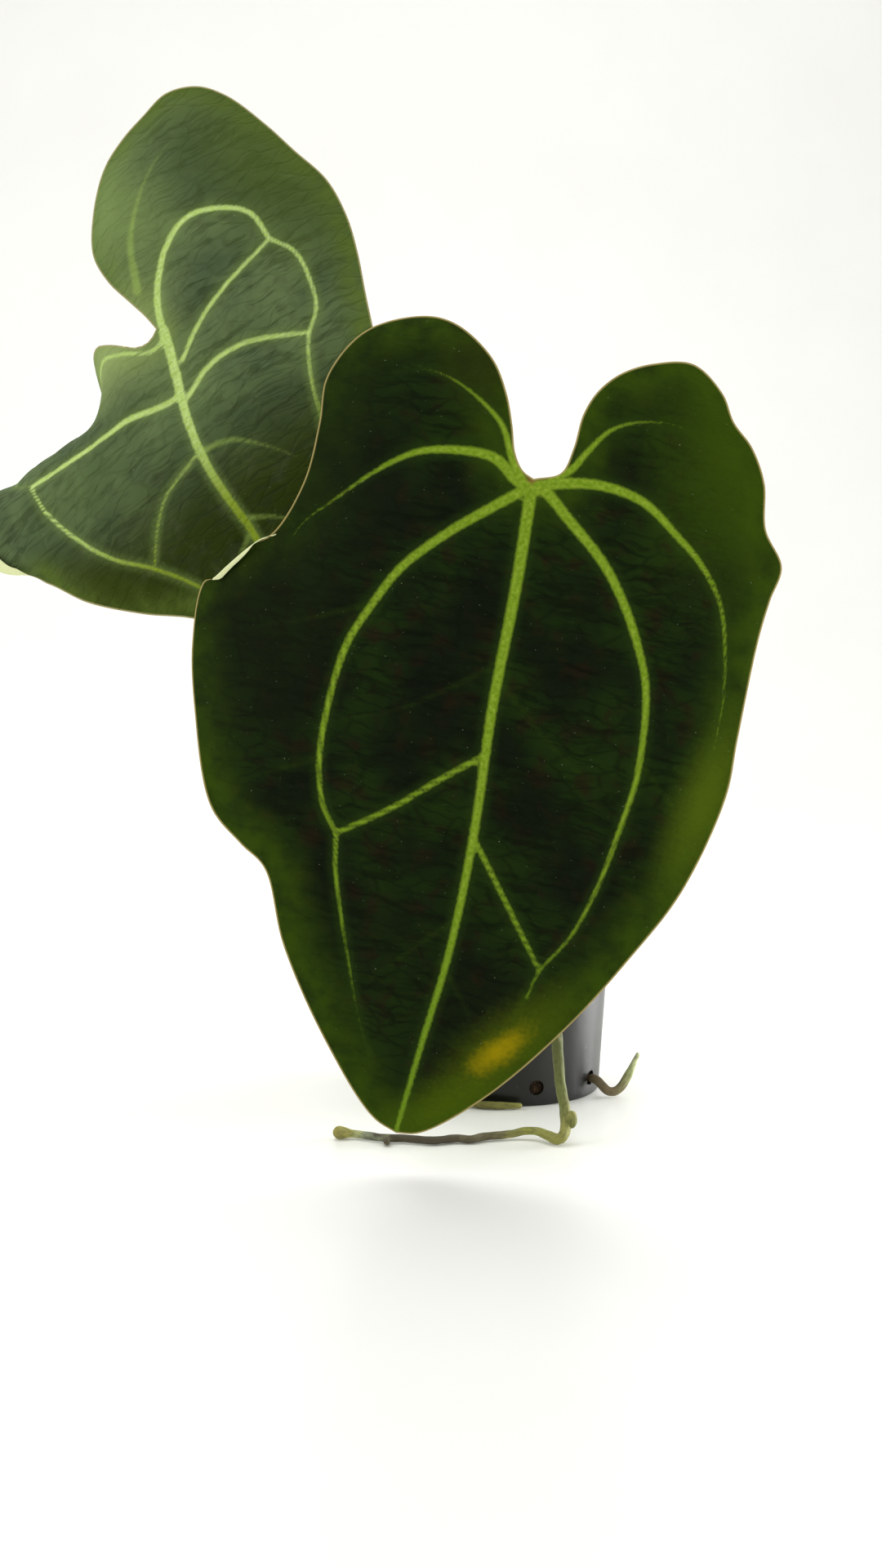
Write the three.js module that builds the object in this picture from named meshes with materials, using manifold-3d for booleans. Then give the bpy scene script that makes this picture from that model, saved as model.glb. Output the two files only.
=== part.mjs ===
// Potted anthurium: two velvety heart shaped leaves on long petioles, in a black nursery pot.
// Millimetres, +Z up. The origin is the centre of the pot's base. The front faces -Y.
import * as THREE from 'three';
import { mergeGeometries, mergeVertices } from 'three/addons/utils/BufferGeometryUtils.js';
import Module from 'manifold-3d';

const wasm = await Module();
wasm.setup();

// ---- driving dimensions ----------------------------------------------------------------------

const CLEARANCE = 0.3; // gap left between pieces that touch in life

const POT = {
  height: 92,
  baseRadius: 36,
  topRadius: 42,
  wall: 1.6,
  floor: 1.8,
  rimRadius: 45.2,
  rimHeight: 7,
  baseRound: 1.2,
  holeRadius: 3,
  holeHeight: 7.5,
  holes: 8,
  firstHole: -75, // degrees from +X
};

const MIX_TOP = 78;
const CHUNKS = {
  outerRing: 32.6,
  innerRing: 22,
  outerSlots: 14,
  innerSlots: 9,
};

const STEM = { baseRadius: 8.5, topRadius: 7.4, bottom: MIX_TOP + CLEARANCE, top: 112 };
const BUD = { radius: 4, height: 40, lean: 6 };
const CATAPHYLL = { inner: 8.9, outer: 9.8, bottom: 92, height: 17, span: 74 };

const LEAF_THICKNESS = 0.8;
const RIDGE = 2.2; // how far the midrib stands out under the blade
const RIDGE_WIDTH = 3.2;

// A blade is drawn flat. Its junction with the petiole is at 0,0, the lobes are at +y and
// the tip is at -y. Each roll then bends it about a straight line: from the point at, towards
// the direction toward (degrees), with a radius and a largest bend (degrees). A negative bend
// goes up, towards the upper face's own side. A roll with a side acts on that half only, and
// comes in over the distance blend beyond the distance from.
const FRONT = {
  junction: [2.5, -137.5, 238.2],
  turn: -5,
  lean: -6,
  spin: 12,
  rolls: [
    { at: [0, 0], toward: 180, radius: 240, bend: 30 },
    { at: [0, 0], toward: 0, radius: 280, bend: 28 },
    { at: [0, -70], toward: -90, radius: 420, bend: 24 },
    { at: [0, 10], toward: 90, radius: 160, bend: 18 },
  ],
  midrib: [[0, -232], [3, -195], [6, -160], [6, -120], [3, -75], [2, -35], [0, -6]],
  left: {
    lobe: [-18, 6],
    flank: [
      [0, -232], [-9, -228], [-30, -204], [-52, -172], [-64, -147], [-75, -140.4], [-89.5, -130],
      [-104, -98], [-111, -75], [-111, -55],
    ],
    shoulder: [[-100, -46], [-88, -34], [-80, -14], [-79, 8], [-80, 24], [-70, 42], [-50, 51]],
    crown: [[-38, 50], [-23, 40.2]],
    sinus: [[-15.4, 29], [-11, 18.5], [-8, 9.5], [-4, 4], [0, 2.2]],
  },
  right: {
    lobe: [17, 10],
    flank: [
      [0, -232], [8, -230], [27, -212], [50, -180], [67, -150], [80, -123], [88, -88],
      [87.5, -68], [87, -34], [88, -20],
    ],
    shoulder: [[89.5, -8], [81, 3], [77, 18], [70, 29], [62, 36], [56, 45], [44, 53]],
    crown: [[31, 50], [21, 44], [14.6, 36], [11.5, 27], [10.8, 15]],
    sinus: [[8.5, 6], [0, 2.2]],
  },
};
const BACK = {
  junction: [-133.5, -32.5, 300.4],
  turn: -25,
  lean: -12,
  spin: -34,
  rolls: [
    { at: [0, 0], toward: 180, radius: 260, bend: 14 },
    { at: [0, 0], toward: 0, radius: 200, bend: 25 },
    { at: [0, -60], toward: -90, radius: 160, bend: 50 },
    { at: [-40, -27], toward: 79, radius: 18, bend: 95, side: -1, from: 26, blend: 28 },
  ],
  midrib: [[-7, -168], [-7, -140], [-6, -110], [-7, -85], [-9, -60], [-8, -40], [-4, -22], [0, -6]],
  left: {
    lobe: [-50, 10],
    flank: [
      [-7, -168], [-15, -152], [-27, -124], [-44, -104], [-63, -89], [-84, -69.5], [-101, -47],
      [-110, -39.5], [-118, -30],
    ],
    shoulder: [[-126, -15], [-127, 4], [-118, 28]],
    crown: [[-102, 50], [-84, 62], [-66, 64], [-52, 56]],
    sinus: [
      [-44, 42], [-38, 27], [-31, 15.5], [-21.5, 8.2], [-13, 0.4], [-7, -0.8], [-2.5, 1.5],
    ],
  },
  right: {
    lobe: [14, 14],
    flank: [[-7, -168], [4, -164], [22, -146], [42, -118], [58, -88], [68, -58], [75, -32]],
    shoulder: [[80, -14], [83, 2], [83, 20], [77.5, 38], [72.5, 54.5], [64.5, 74]],
    crown: [
      [56, 84], [44, 88], [32, 84.5], [21, 81], [8.5, 74.5], [-4, 61], [-12, 46], [-11.5, 32],
    ],
    sinus: [[-7.5, 19], [-4.2, 9], [-2.5, 1.5]],
  },
};

// Paths of the petioles from the stem to the joint, before the last stretch into the blade.
const FRONT_PETIOLE = [
  [0.8, -13.4, 88], [1, -14.6, 104], [1.6, -22, 136], [2.2, -38, 172], [2.8, -64, 206],
  [3.2, -94, 226],
];
const BACK_PETIOLE = [
  [-4.6, 12.6, 88], [-6, 15, 106], [-12, 21, 140], [-28, 27, 184], [-56, 27, 228],
  [-90, 14, 264],
];
const PETIOLE = { base: 4.5, middle: 3, joint: 4.2, jointLength: 20 };

// The long root is thinner from where it meets the floor, and swells again at its tip. The
// shares are parts of its length.
const LONG_ROOT = {
  radius: 2.1,
  floorRadius: 1.5,
  floorShare: 0.62,
  tipRadius: 2.4,
  tipShare: 0.965,
  path: [
    [6.6, -11, 84], [8.4, -18, 82], [9.4, -27, 84], [10, -34, 91], [10.6, -37.8, 95.6],
    [11.4, -42, 97], [12.4, -48, 95.2], [13, -54.6, 86], [13.8, -61.5, 70], [14.4, -67.5, 52],
    [15.2, -72.5, 36], [16.3, -78, 20], [17.9, -84.4, 10], [17.4, -90, 4.8], [15.4, -92.4, 2.6],
    [11.8, -89, 2.7], [7.9, -85.4, 3.5], [3.6, -83.6, 3.3], [-1.7, -84, 2.3], [-8.6, -85.4, 1.9],
    [-12.9, -86.5, 1.8], [-17.2, -89.8, 1.8], [-22, -88.4, 1.8], [-27.1, -90.2, 1.8],
    [-30.7, -91.6, 1.8], [-35.5, -90.4, 1.8], [-42.4, -88.4, 1.8], [-48.1, -88, 1.8],
    [-54.2, -85.2, 1.8], [-59.4, -83, 1.9], [-63.6, -82.8, 2.3], [-68, -83.4, 2.8],
  ],
  knob: [20, -88, 8.8],
  knobRadius: 2.2,
  bud: [-47.8, -91, 1.6],
  budRadius: 1.4,
};
const RIGHT_ROOT = {
  radius: 1.8,
  tipRadius: 0.9,
  path: [
    [30.8, -17.8, 7.5], [34, -19.6, 6.9], [36.4, -20.6, 4.6], [38.7, -20.9, 2.6],
    [41.3, -20.6, 2.5], [44, -20.2, 4.6], [46.4, -20, 8.6], [48.6, -19.8, 13.2], [50.8, -19.6, 18],
  ],
};
const FOOT_ROOT = {
  radius: 1.5,
  tipRadius: 1.1,
  path: [
    [-17.8, -30.8, 7.5], [-19, -33, 6.9], [-18.6, -36, 4], [-14.6, -38.6, 2.1],
    [-8, -40.2, 1.8], [-1.6, -40.3, 1.7], [3.6, -39.8, 1.6],
  ],
};
const PROP_ROOTS = { radius: 1.8, directions: [-28, 42, 148, 222] };

const COLOUR = {
  pot: '#26261f',
  mix: '#3a2c20',
  bark: '#7a5336',
  pumice: '#d3cec0',
  charcoal: '#2b2a29',
  stem: '#5f6a33',
  bud: '#8a9a4a',
  cataphyll: '#9a7a4c',
  petiole: '#6f8a35',
  frontBlade: '#243014',
  backBlade: '#3f5230',
  root: '#7c7a58',
};

// ---- helpers ---------------------------------------------------------------------------------

function radians(degrees) {
  return THREE.MathUtils.degToRad(degrees);
}

function material(colour, roughness) {
  return new THREE.MeshStandardMaterial({ color: colour, roughness, metalness: 0 });
}

function piece(name, geometry, look) {
  const mesh = new THREE.Mesh(geometry, look);
  mesh.name = name;
  return mesh;
}

function curveThrough(points) {
  const corners = points.map(([x, y, z = 0]) => new THREE.Vector3(x, y, z));
  return new THREE.CatmullRomCurve3(corners, false, 'centripetal');
}

// Only positions and faces, with shared corners and without faces that have no area.
function closedMesh(geometry) {
  const bare = new THREE.BufferGeometry();
  bare.setAttribute('position', geometry.getAttribute('position').clone());
  if (geometry.index) {
    bare.setIndex(geometry.index.clone());
  }
  const joined = mergeVertices(bare, 1e-4);
  const faces = [];
  const index = joined.index.array;
  for (let i = 0; i < index.length; i += 3) {
    const [a, b, c] = index.slice(i, i + 3);
    if (a !== b && b !== c && c !== a) {
      faces.push(a, b, c);
    }
  }
  joined.setIndex(faces);
  return joined;
}

function toSolid(geometry) {
  const closed = closedMesh(geometry);
  return new wasm.Manifold(new wasm.Mesh({
    numProp: 3,
    vertProperties: new Float32Array(closed.getAttribute('position').array),
    triVerts: new Uint32Array(closed.index.array),
  }));
}

function fromSolid(solid) {
  const mesh = solid.getMesh();
  const geometry = new THREE.BufferGeometry();
  geometry.setAttribute('position', new THREE.BufferAttribute(mesh.vertProperties, 3));
  geometry.setIndex(new THREE.BufferAttribute(mesh.triVerts, 1));
  return geometry;
}

// A turned shape about +Z: each point of the profile is [radius, height].
function turned(profile, sides) {
  const outline = profile.map(([radius, height]) => new THREE.Vector2(radius, height));
  return new THREE.LatheGeometry(outline, sides).rotateX(Math.PI / 2);
}

// A round bar with domed ends that follows a curve. radiusAt gives its radius for each
// fraction of the length.
function bar(curve, radiusAt, rows, sides) {
  const length = curve.getLength();
  const dome = [0, 0.35, 0.75];
  const start = radiusAt(0);
  const end = radiusAt(1);
  const profile = [];
  for (const angle of dome) {
    profile.push([start * Math.sin(angle * Math.PI / 2), start * (1 - Math.cos(angle * Math.PI / 2))]);
  }
  for (let row = 0; row <= rows; row += 1) {
    const along = start + (length - start - end) * row / rows;
    profile.push([radiusAt(along / length), along]);
  }
  for (const angle of dome.slice().reverse()) {
    const reach = end * (1 - Math.cos(angle * Math.PI / 2));
    profile.push([end * Math.sin(angle * Math.PI / 2), length - reach]);
  }
  const outline = profile.map(([radius, along]) => new THREE.Vector2(radius, along));
  const geometry = new THREE.LatheGeometry(outline, sides);
  const frames = framesAlong(curve, profile.map(([, along]) => along / length));
  const position = geometry.getAttribute('position');
  const point = new THREE.Vector3();
  for (let i = 0; i < position.count; i += 1) {
    const { centre, normal, binormal } = frames[i % profile.length];
    point.copy(centre);
    point.addScaledVector(normal, position.getX(i));
    point.addScaledVector(binormal, position.getZ(i));
    position.setXYZ(i, point.x, point.y, point.z);
  }
  return closedMesh(geometry);
}

// Frames that turn with the curve and don't twist about it.
function framesAlong(curve, fractions) {
  const frames = [];
  const turn = new THREE.Quaternion();
  let tangent = curve.getTangentAt(0);
  const normal = new THREE.Vector3(1, 0, 0);
  if (Math.abs(tangent.x) > 0.8) {
    normal.set(0, 1, 0);
  }
  normal.addScaledVector(tangent, -normal.dot(tangent)).normalize();
  for (const fraction of fractions) {
    const place = THREE.MathUtils.clamp(fraction, 0, 1);
    const next = curve.getTangentAt(place);
    turn.setFromUnitVectors(tangent, next);
    normal.applyQuaternion(turn);
    tangent = next;
    frames.push({
      centre: curve.getPointAt(place),
      normal: normal.clone(),
      binormal: new THREE.Vector3().crossVectors(normal, tangent),
    });
  }
  return frames;
}

// Evenly spaced points along the part of a curve between two of its parameters.
function evenPoints(curve, from, to, count) {
  const fine = 160;
  const samples = [];
  const lengths = [0];
  for (let i = 0; i <= fine; i += 1) {
    samples.push(curve.getPoint(from + (to - from) * i / fine));
    if (i > 0) {
      lengths.push(lengths[i - 1] + samples[i].distanceTo(samples[i - 1]));
    }
  }
  const points = [];
  let at = 0;
  for (let k = 0; k < count; k += 1) {
    const target = lengths[fine] * k / (count - 1);
    while (at < fine - 1 && lengths[at + 1] < target) {
      at += 1;
    }
    const share = (target - lengths[at]) / (lengths[at + 1] - lengths[at]);
    points.push(samples[at].clone().lerp(samples[at + 1], THREE.MathUtils.clamp(share, 0, 1)));
  }
  return points;
}

// ---- pot and mix -----------------------------------------------------------------------------

function potRadius(height) {
  return THREE.MathUtils.lerp(POT.baseRadius, POT.topRadius, height / POT.height);
}

function pot() {
  const rimFoot = POT.height - POT.rimHeight;
  const inner = (height) => potRadius(height) - POT.wall;
  const shell = turned([
    [0, 0],
    [POT.baseRadius - POT.baseRound, 0],
    [POT.baseRadius, POT.baseRound],
    [potRadius(POT.height / 2), POT.height / 2],
    [potRadius(rimFoot - 1), rimFoot - 1],
    [POT.rimRadius - 0.8, rimFoot],
    [POT.rimRadius, rimFoot + 0.8],
    [POT.rimRadius, POT.height - 1.2],
    [POT.rimRadius - 1.2, POT.height],
    [inner(POT.height) + 0.6, POT.height],
    [inner(POT.height), POT.height - 0.6],
    [inner(POT.height / 2), POT.height / 2],
    [inner(POT.floor), POT.floor],
    [0, POT.floor],
  ], 56);
  let solid = toSolid(shell);
  for (let k = 0; k < POT.holes; k += 1) {
    const drill = new THREE.CylinderGeometry(POT.holeRadius, POT.holeRadius, 8, 16);
    drill.rotateZ(Math.PI / 2);
    drill.translate(potRadius(POT.holeHeight) - POT.wall / 2, 0, POT.holeHeight);
    drill.rotateZ(radians(POT.firstHole + k * 360 / POT.holes));
    solid = solid.subtract(toSolid(drill));
  }
  return piece('pot', fromSolid(solid), material(COLOUR.pot, 0.38));
}

function pottingMix() {
  const bottom = POT.floor + CLEARANCE;
  const radius = (height) => potRadius(height) - POT.wall - CLEARANCE;
  const body = turned([
    [0, bottom],
    [radius(bottom), bottom],
    [radius(MIX_TOP / 2), MIX_TOP / 2],
    [radius(MIX_TOP - 1.5), MIX_TOP - 1.5],
    [radius(MIX_TOP) - 2, MIX_TOP],
    [0, MIX_TOP],
  ], 40);
  return piece('potting_mix', closedMesh(body), material(COLOUR.mix, 0.95));
}

// One lump of the given half sizes. Its corners are pushed in and out a little.
function lump(base, half, seed) {
  const geometry = closedMesh(base);
  const position = geometry.getAttribute('position');
  for (let i = 0; i < position.count; i += 1) {
    const grow = 1 - 0.16 * (0.5 + 0.5 * Math.sin(12.9 * i + 7.3 * seed));
    position.setXYZ(
      i,
      position.getX(i) * half[0] * grow,
      position.getY(i) * half[1] * grow,
      position.getZ(i) * half[2] * (position.getZ(i) > 0 ? grow : 1),
    );
  }
  return geometry;
}

function chunks() {
  const kinds = {
    bark: {
      base: new THREE.BoxGeometry(2, 2, 2, 2, 1, 1),
      half: [4.3, 2.4, 1.6],
      look: material(COLOUR.bark, 0.9),
      name: 'bark_chip',
    },
    pumice: {
      base: new THREE.IcosahedronGeometry(1, 1),
      half: [2.9, 2.6, 2.2],
      look: material(COLOUR.pumice, 0.9),
      name: 'pumice',
    },
    charcoal: {
      base: new THREE.DodecahedronGeometry(1),
      half: [3.3, 2.5, 1.9],
      look: material(COLOUR.charcoal, 0.8),
      name: 'charcoal',
    },
  };
  const order = ['bark', 'pumice', 'bark', 'charcoal', 'bark', 'bark', 'pumice'];
  const count = { bark: 0, pumice: 0, charcoal: 0 };
  const group = new THREE.Group();
  const place = (direction, distance, k) => {
    const kind = order[k % order.length];
    const { base, half, look, name } = kinds[kind];
    const size = 0.86 + 0.14 * Math.sin(5.1 * k + 1);
    count[kind] += 1;
    const scaled = half.map((value) => value * size);
    const chip = piece(`${name}_${count[kind]}`, lump(base, scaled, k), look);
    chip.position.set(
      distance * Math.cos(direction),
      distance * Math.sin(direction),
      MIX_TOP + CLEARANCE + scaled[2],
    );
    chip.rotation.z = direction + Math.PI / 2 + 0.5 * Math.sin(3.7 * k);
    group.add(chip);
  };
  // The long root takes up one slot in each ring, both towards the front and right.
  for (let k = 0; k < CHUNKS.outerSlots; k += 1) {
    const direction = 2 * Math.PI * k / CHUNKS.outerSlots;
    if (Math.abs(direction - radians(286)) > radians(16)) {
      place(direction, CHUNKS.outerRing, k);
    }
  }
  for (let k = 0; k < CHUNKS.innerSlots; k += 1) {
    const direction = 2 * Math.PI * (k + 0.2) / CHUNKS.innerSlots;
    if (Math.abs(direction - radians(293)) > radians(22)) {
      place(direction, CHUNKS.innerRing, k + 3);
    }
  }
  return group;
}

// ---- stem, bud and sheaths -------------------------------------------------------------------

function stem() {
  const { baseRadius, topRadius, bottom, top } = STEM;
  const profile = [[0, bottom], [baseRadius - 0.8, bottom], [baseRadius, bottom + 0.8]];
  // Each leaf scar is a low ring.
  for (let k = 1; k <= 4; k += 1) {
    const height = bottom + (top - bottom - 5) * k / 4;
    const radius = THREE.MathUtils.lerp(baseRadius, topRadius, k / 4);
    profile.push([radius - 0.4, height - 2.2], [radius, height]);
  }
  profile.push([topRadius * 0.75, top - 2], [0, top]);
  return piece('stem', closedMesh(turned(profile, 20)), material(COLOUR.stem, 0.7));
}

function terminalBud() {
  const foot = STEM.top + CLEARANCE;
  const lean = Math.tan(radians(BUD.lean)) * BUD.height;
  const curve = curveThrough([[0, 0, foot], [lean * 0.2, 0, foot + BUD.height * 0.4],
    [lean, 0, foot + BUD.height]]);
  const radius = (share) => BUD.radius * (share < 0.25 ? 0.8 + 0.8 * share : 1.15 - 0.6 * share)
    * (1 - 0.75 * Math.max(0, share - 0.5));
  return piece('terminal_bud', bar(curve, radius, 7, 10), material(COLOUR.bud, 0.55));
}

function cataphyll(name, direction) {
  const { inner, outer, bottom, height, span } = CATAPHYLL;
  const half = radians(span / 2);
  const section = new THREE.Shape();
  section.absarc(0, 0, outer, -half, half, false);
  section.absarc(0, 0, inner, half, -half, true);
  section.closePath();
  const geometry = new THREE.ExtrudeGeometry(section, {
    depth: height, steps: 3, curveSegments: 8, bevelEnabled: false,
  });
  // The sheath opens a little towards its top.
  const position = geometry.getAttribute('position');
  for (let i = 0; i < position.count; i += 1) {
    const open = 1 + 0.16 * (position.getZ(i) / height) ** 2;
    position.setXY(i, position.getX(i) * open, position.getY(i) * open);
  }
  const sheath = piece(name, closedMesh(geometry), material(COLOUR.cataphyll, 0.85));
  sheath.position.z = bottom;
  sheath.rotation.z = radians(direction);
  return sheath;
}

// ---- blades ----------------------------------------------------------------------------------

function smooth(value) {
  const t = THREE.MathUtils.clamp(value, 0, 1);
  return t * t * (3 - 2 * t);
}

// The point of the bent blade, in its own frame, for a point of the flat drawing.
function bent(leaf, x, y) {
  const point = new THREE.Vector3(x, y, 0);
  for (const { at, toward, radius, bend, side = 0, from = 0, blend = 25 } of leaf.rolls) {
    const direction = new THREE.Vector2(Math.cos(radians(toward)), Math.sin(radians(toward)));
    const distance = (x - at[0]) * direction.x + (y - at[1]) * direction.y;
    if (distance > 0) {
      const largest = radians(Math.abs(bend));
      const turned = Math.min(distance / radius, largest);
      const beyond = Math.max(distance - radius * largest, 0);
      const along = radius * Math.sin(turned) + beyond * Math.cos(largest);
      const away = radius * (1 - Math.cos(turned)) + beyond * Math.sin(largest);
      const share = side === 0 ? 1 : smooth((side * x - from) / blend);
      point.x += (along - distance) * direction.x * share;
      point.y += (along - distance) * direction.y * share;
      point.z -= away * share;
    }
  }
  return point;
}

function faceNormal(leaf, x, y) {
  const step = 0.5;
  const acrossX = bent(leaf, x + step, y).sub(bent(leaf, x - step, y));
  const acrossY = bent(leaf, x, y + step).sub(bent(leaf, x, y - step));
  return acrossX.cross(acrossY).normalize();
}

function leafTurn(leaf) {
  const upright = new THREE.Vector3(0, 0, 1);
  const sideways = new THREE.Vector3(1, 0, 0);
  const turn = new THREE.Quaternion().setFromAxisAngle(upright, radians(leaf.turn));
  const lean = new THREE.Quaternion().setFromAxisAngle(sideways, radians(90 + leaf.lean));
  const spin = new THREE.Quaternion().setFromAxisAngle(upright, radians(-leaf.spin));
  return turn.multiply(lean).multiply(spin);
}

// One half of a blade, as a sheet that goes from the midrib over the upper face to the margin
// and back along the lower face. Its columns go from the tip along the margin to the sinus. In
// the lobe their inner ends go out by two straight legs to its middle, and back again.
function halfBlade(leaf, half, mirrored) {
  const flankColumns = 20;
  const innerColumns = 4;
  const outerColumns = 6;
  const sections = [
    [half.flank, flankColumns], [half.shoulder, innerColumns + outerColumns - 1],
    [half.crown, outerColumns], [half.sinus, innerColumns],
  ];
  const outline = sections.flatMap(([points]) => points);
  const margin = curveThrough(outline);
  const edge = [margin.getPoint(0)];
  let start = 0;
  let last = -1;
  for (const [points, count] of sections) {
    last += points.length;
    const end = last / (outline.length - 1);
    edge.push(...evenPoints(margin, start, end, count).slice(1));
    start = end;
  }
  const midrib = evenPoints(curveThrough(leaf.midrib), 0, 1, flankColumns);
  const junction = midrib[flankColumns - 1];
  const inner = new THREE.Vector3(...half.lobe, 0);
  const outer = inner.clone().lerp(new THREE.Vector3(...half.shoulder.at(-1), 0), 0.6);
  const spine = midrib.map((point, k) => (
    { point, ridge: 0.25 + 0.75 * k / (flankColumns - 1) }
  ));
  const legs = [
    [junction, inner, innerColumns], [inner, outer, outerColumns], [outer, inner, outerColumns],
    [inner, junction, innerColumns],
  ];
  for (const [from, to, count] of legs) {
    for (let k = 1; k < count; k += 1) {
      const point = from.clone().lerp(to, k / (count - 1));
      spine.push({ point, ridge: Math.max(0, 1 - point.distanceTo(junction) / 14) });
    }
  }
  const shares = [0, 0.07, 0.22, 0.46, 0.7, 0.9, 1];
  const rows = [
    ...shares.map((value) => ({ share: value, under: 0 })),
    ...shares.slice(0, -1).reverse().map((value) => ({ share: value, under: 1 })),
  ];
  const columns = spine.length;
  const sheet = new THREE.PlaneGeometry(1, 1, columns - 1, rows.length - 1);
  const position = sheet.getAttribute('position');
  rows.forEach((row, j) => {
    for (let i = 0; i < columns; i += 1) {
      const k = mirrored ? columns - 1 - i : i;
      const flat = spine[k].point.clone().lerp(edge[k], row.share);
      const point = bent(leaf, flat.x, flat.y);
      if (row.under === 1) {
        const fromSpine = flat.distanceTo(spine[k].point);
        const ridge = RIDGE * spine[k].ridge * Math.exp(-((fromSpine / RIDGE_WIDTH) ** 2));
        const thickness = (LEAF_THICKNESS + ridge) * (1 - row.share ** 4);
        point.addScaledVector(faceNormal(leaf, flat.x, flat.y), -thickness);
      }
      position.setXYZ(j * columns + i, point.x, point.y, point.z);
    }
  });
  return sheet;
}

function blade(name, leaf, look) {
  const halves = mergeGeometries([
    halfBlade(leaf, leaf.right, false),
    halfBlade(leaf, leaf.left, true),
  ]);
  const mesh = piece(name, closedMesh(halves), look);
  mesh.position.set(...leaf.junction);
  mesh.quaternion.copy(leafTurn(leaf));
  return mesh;
}

// ---- petioles --------------------------------------------------------------------------------

// The petiole meets the blade from below, square to it, just short of its midrib.
function petiole(name, leaf, path) {
  const foot = [0, -4];
  const turn = leafTurn(leaf);
  const junction = new THREE.Vector3(...leaf.junction);
  const meet = bent(leaf, ...foot).applyQuaternion(turn).add(junction);
  const down = faceNormal(leaf, ...foot).applyQuaternion(turn).negate();
  const under = LEAF_THICKNESS + RIDGE + CLEARANCE + 0.1;
  const end = meet.clone().addScaledVector(down, under);
  const before = meet.clone().addScaledVector(down, under + PETIOLE.jointLength);
  before.z -= 1.5;
  const curve = curveThrough([...path, before.toArray(), end.toArray()]);
  const length = curve.getLength();
  const radius = (share) => {
    const fromEnd = length * (1 - share);
    const swelling = Math.exp(-(((fromEnd - PETIOLE.jointLength / 2) / 9) ** 2));
    const flare = Math.exp(-((length * share / 22) ** 2));
    return PETIOLE.middle + (PETIOLE.joint - PETIOLE.middle) * swelling
      + (PETIOLE.base - PETIOLE.middle) * flare;
  };
  return piece(name, bar(curve, radius, 22, 12), material(COLOUR.petiole, 0.5));
}

// ---- roots -----------------------------------------------------------------------------------

function longRoot() {
  const { path, knob, knobRadius, bud, budRadius } = LONG_ROOT;
  const { radius, floorRadius, floorShare, tipRadius, tipShare } = LONG_ROOT;
  const width = (share) => radius
    + (floorRadius - radius) * smooth((share - floorShare) / 0.06)
    + (tipRadius - floorRadius) * smooth((share - tipShare) / 0.025);
  let solid = toSolid(bar(curveThrough(path), width, 80, 10));
  const side = new THREE.SphereGeometry(knobRadius, 10, 8);
  side.scale(1, 1, 1.5).translate(...knob);
  const tooth = new THREE.SphereGeometry(budRadius, 8, 6);
  tooth.scale(1, 2.4, 1).translate(...bud);
  solid = solid.add(toSolid(side)).add(toSolid(tooth));
  return piece('root_over_rim', fromSolid(solid), material(COLOUR.root, 0.75));
}

function smallRoot(name, { path, radius, tipRadius }) {
  const width = (share) => radius + (tipRadius - radius) * smooth((share - 0.6) / 0.4);
  return piece(name, bar(curveThrough(path), width, 16, 10), material(COLOUR.root, 0.75));
}

function propRoots() {
  const group = new THREE.Group();
  PROP_ROOTS.directions.forEach((direction, k) => {
    const path = [[10.8, 0, 88.5], [12, 0, 86.6], [13.4, 0, 83.6], [14.1, 0, 80.2]];
    const curve = curveThrough(path);
    const root = piece(
      `prop_root_${k + 1}`,
      bar(curve, () => PROP_ROOTS.radius, 6, 10),
      material(COLOUR.root, 0.75),
    );
    root.rotation.z = radians(direction);
    root.position.z = MIX_TOP + CLEARANCE + 0.1 - 80.2;
    group.add(root);
  });
  return group;
}

// ---- the plant -------------------------------------------------------------------------------

const plant = new THREE.Group();
plant.add(pot(), pottingMix(), chunks());
plant.add(stem(), terminalBud(), cataphyll('cataphyll_right', 8), cataphyll('cataphyll_left', 188));
plant.add(blade('blade_front', FRONT, material(COLOUR.frontBlade, 0.75)));
plant.add(blade('blade_back', BACK, material(COLOUR.backBlade, 0.7)));
plant.add(petiole('petiole_front', FRONT, FRONT_PETIOLE));
plant.add(petiole('petiole_back', BACK, BACK_PETIOLE));
plant.add(longRoot(), smallRoot('root_right', RIGHT_ROOT), smallRoot('root_foot', FOOT_ROOT));
plant.add(propRoots());

export default plant;
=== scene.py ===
# %% [markdown]
# # A potted anthurium
#
# The plant has two large heart shaped leaves with a velvety upper face and pale veins. Each hangs
# from a long petiole. They grow from a short stem in a black nursery pot, filled with a chunky
# mix of bark, and a few aerial roots trail over the rim and out of the drain holes.
#
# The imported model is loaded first. It gives the true size and place of every piece, in metres,
# with +Z up and the front towards -Y. Everything below is built around it.

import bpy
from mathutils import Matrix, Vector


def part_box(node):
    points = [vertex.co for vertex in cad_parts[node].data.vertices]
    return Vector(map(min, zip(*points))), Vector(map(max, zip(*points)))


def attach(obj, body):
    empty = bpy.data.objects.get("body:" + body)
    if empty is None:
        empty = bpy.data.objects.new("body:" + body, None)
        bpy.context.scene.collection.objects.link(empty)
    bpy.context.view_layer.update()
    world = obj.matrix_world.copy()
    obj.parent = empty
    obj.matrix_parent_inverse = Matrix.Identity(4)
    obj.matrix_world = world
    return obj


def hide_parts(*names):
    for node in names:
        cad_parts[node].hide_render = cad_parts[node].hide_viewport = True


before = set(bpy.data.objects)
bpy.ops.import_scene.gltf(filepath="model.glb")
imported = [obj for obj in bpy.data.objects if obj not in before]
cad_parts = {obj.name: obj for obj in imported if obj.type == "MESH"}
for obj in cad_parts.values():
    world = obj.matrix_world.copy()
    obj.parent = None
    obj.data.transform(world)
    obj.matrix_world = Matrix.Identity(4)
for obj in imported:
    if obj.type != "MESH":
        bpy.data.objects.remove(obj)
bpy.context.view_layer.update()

# %% Modules and units
import math
import random

import bmesh
import bpy
import numpy as np
from mathutils import Matrix, Vector, noise

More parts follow.
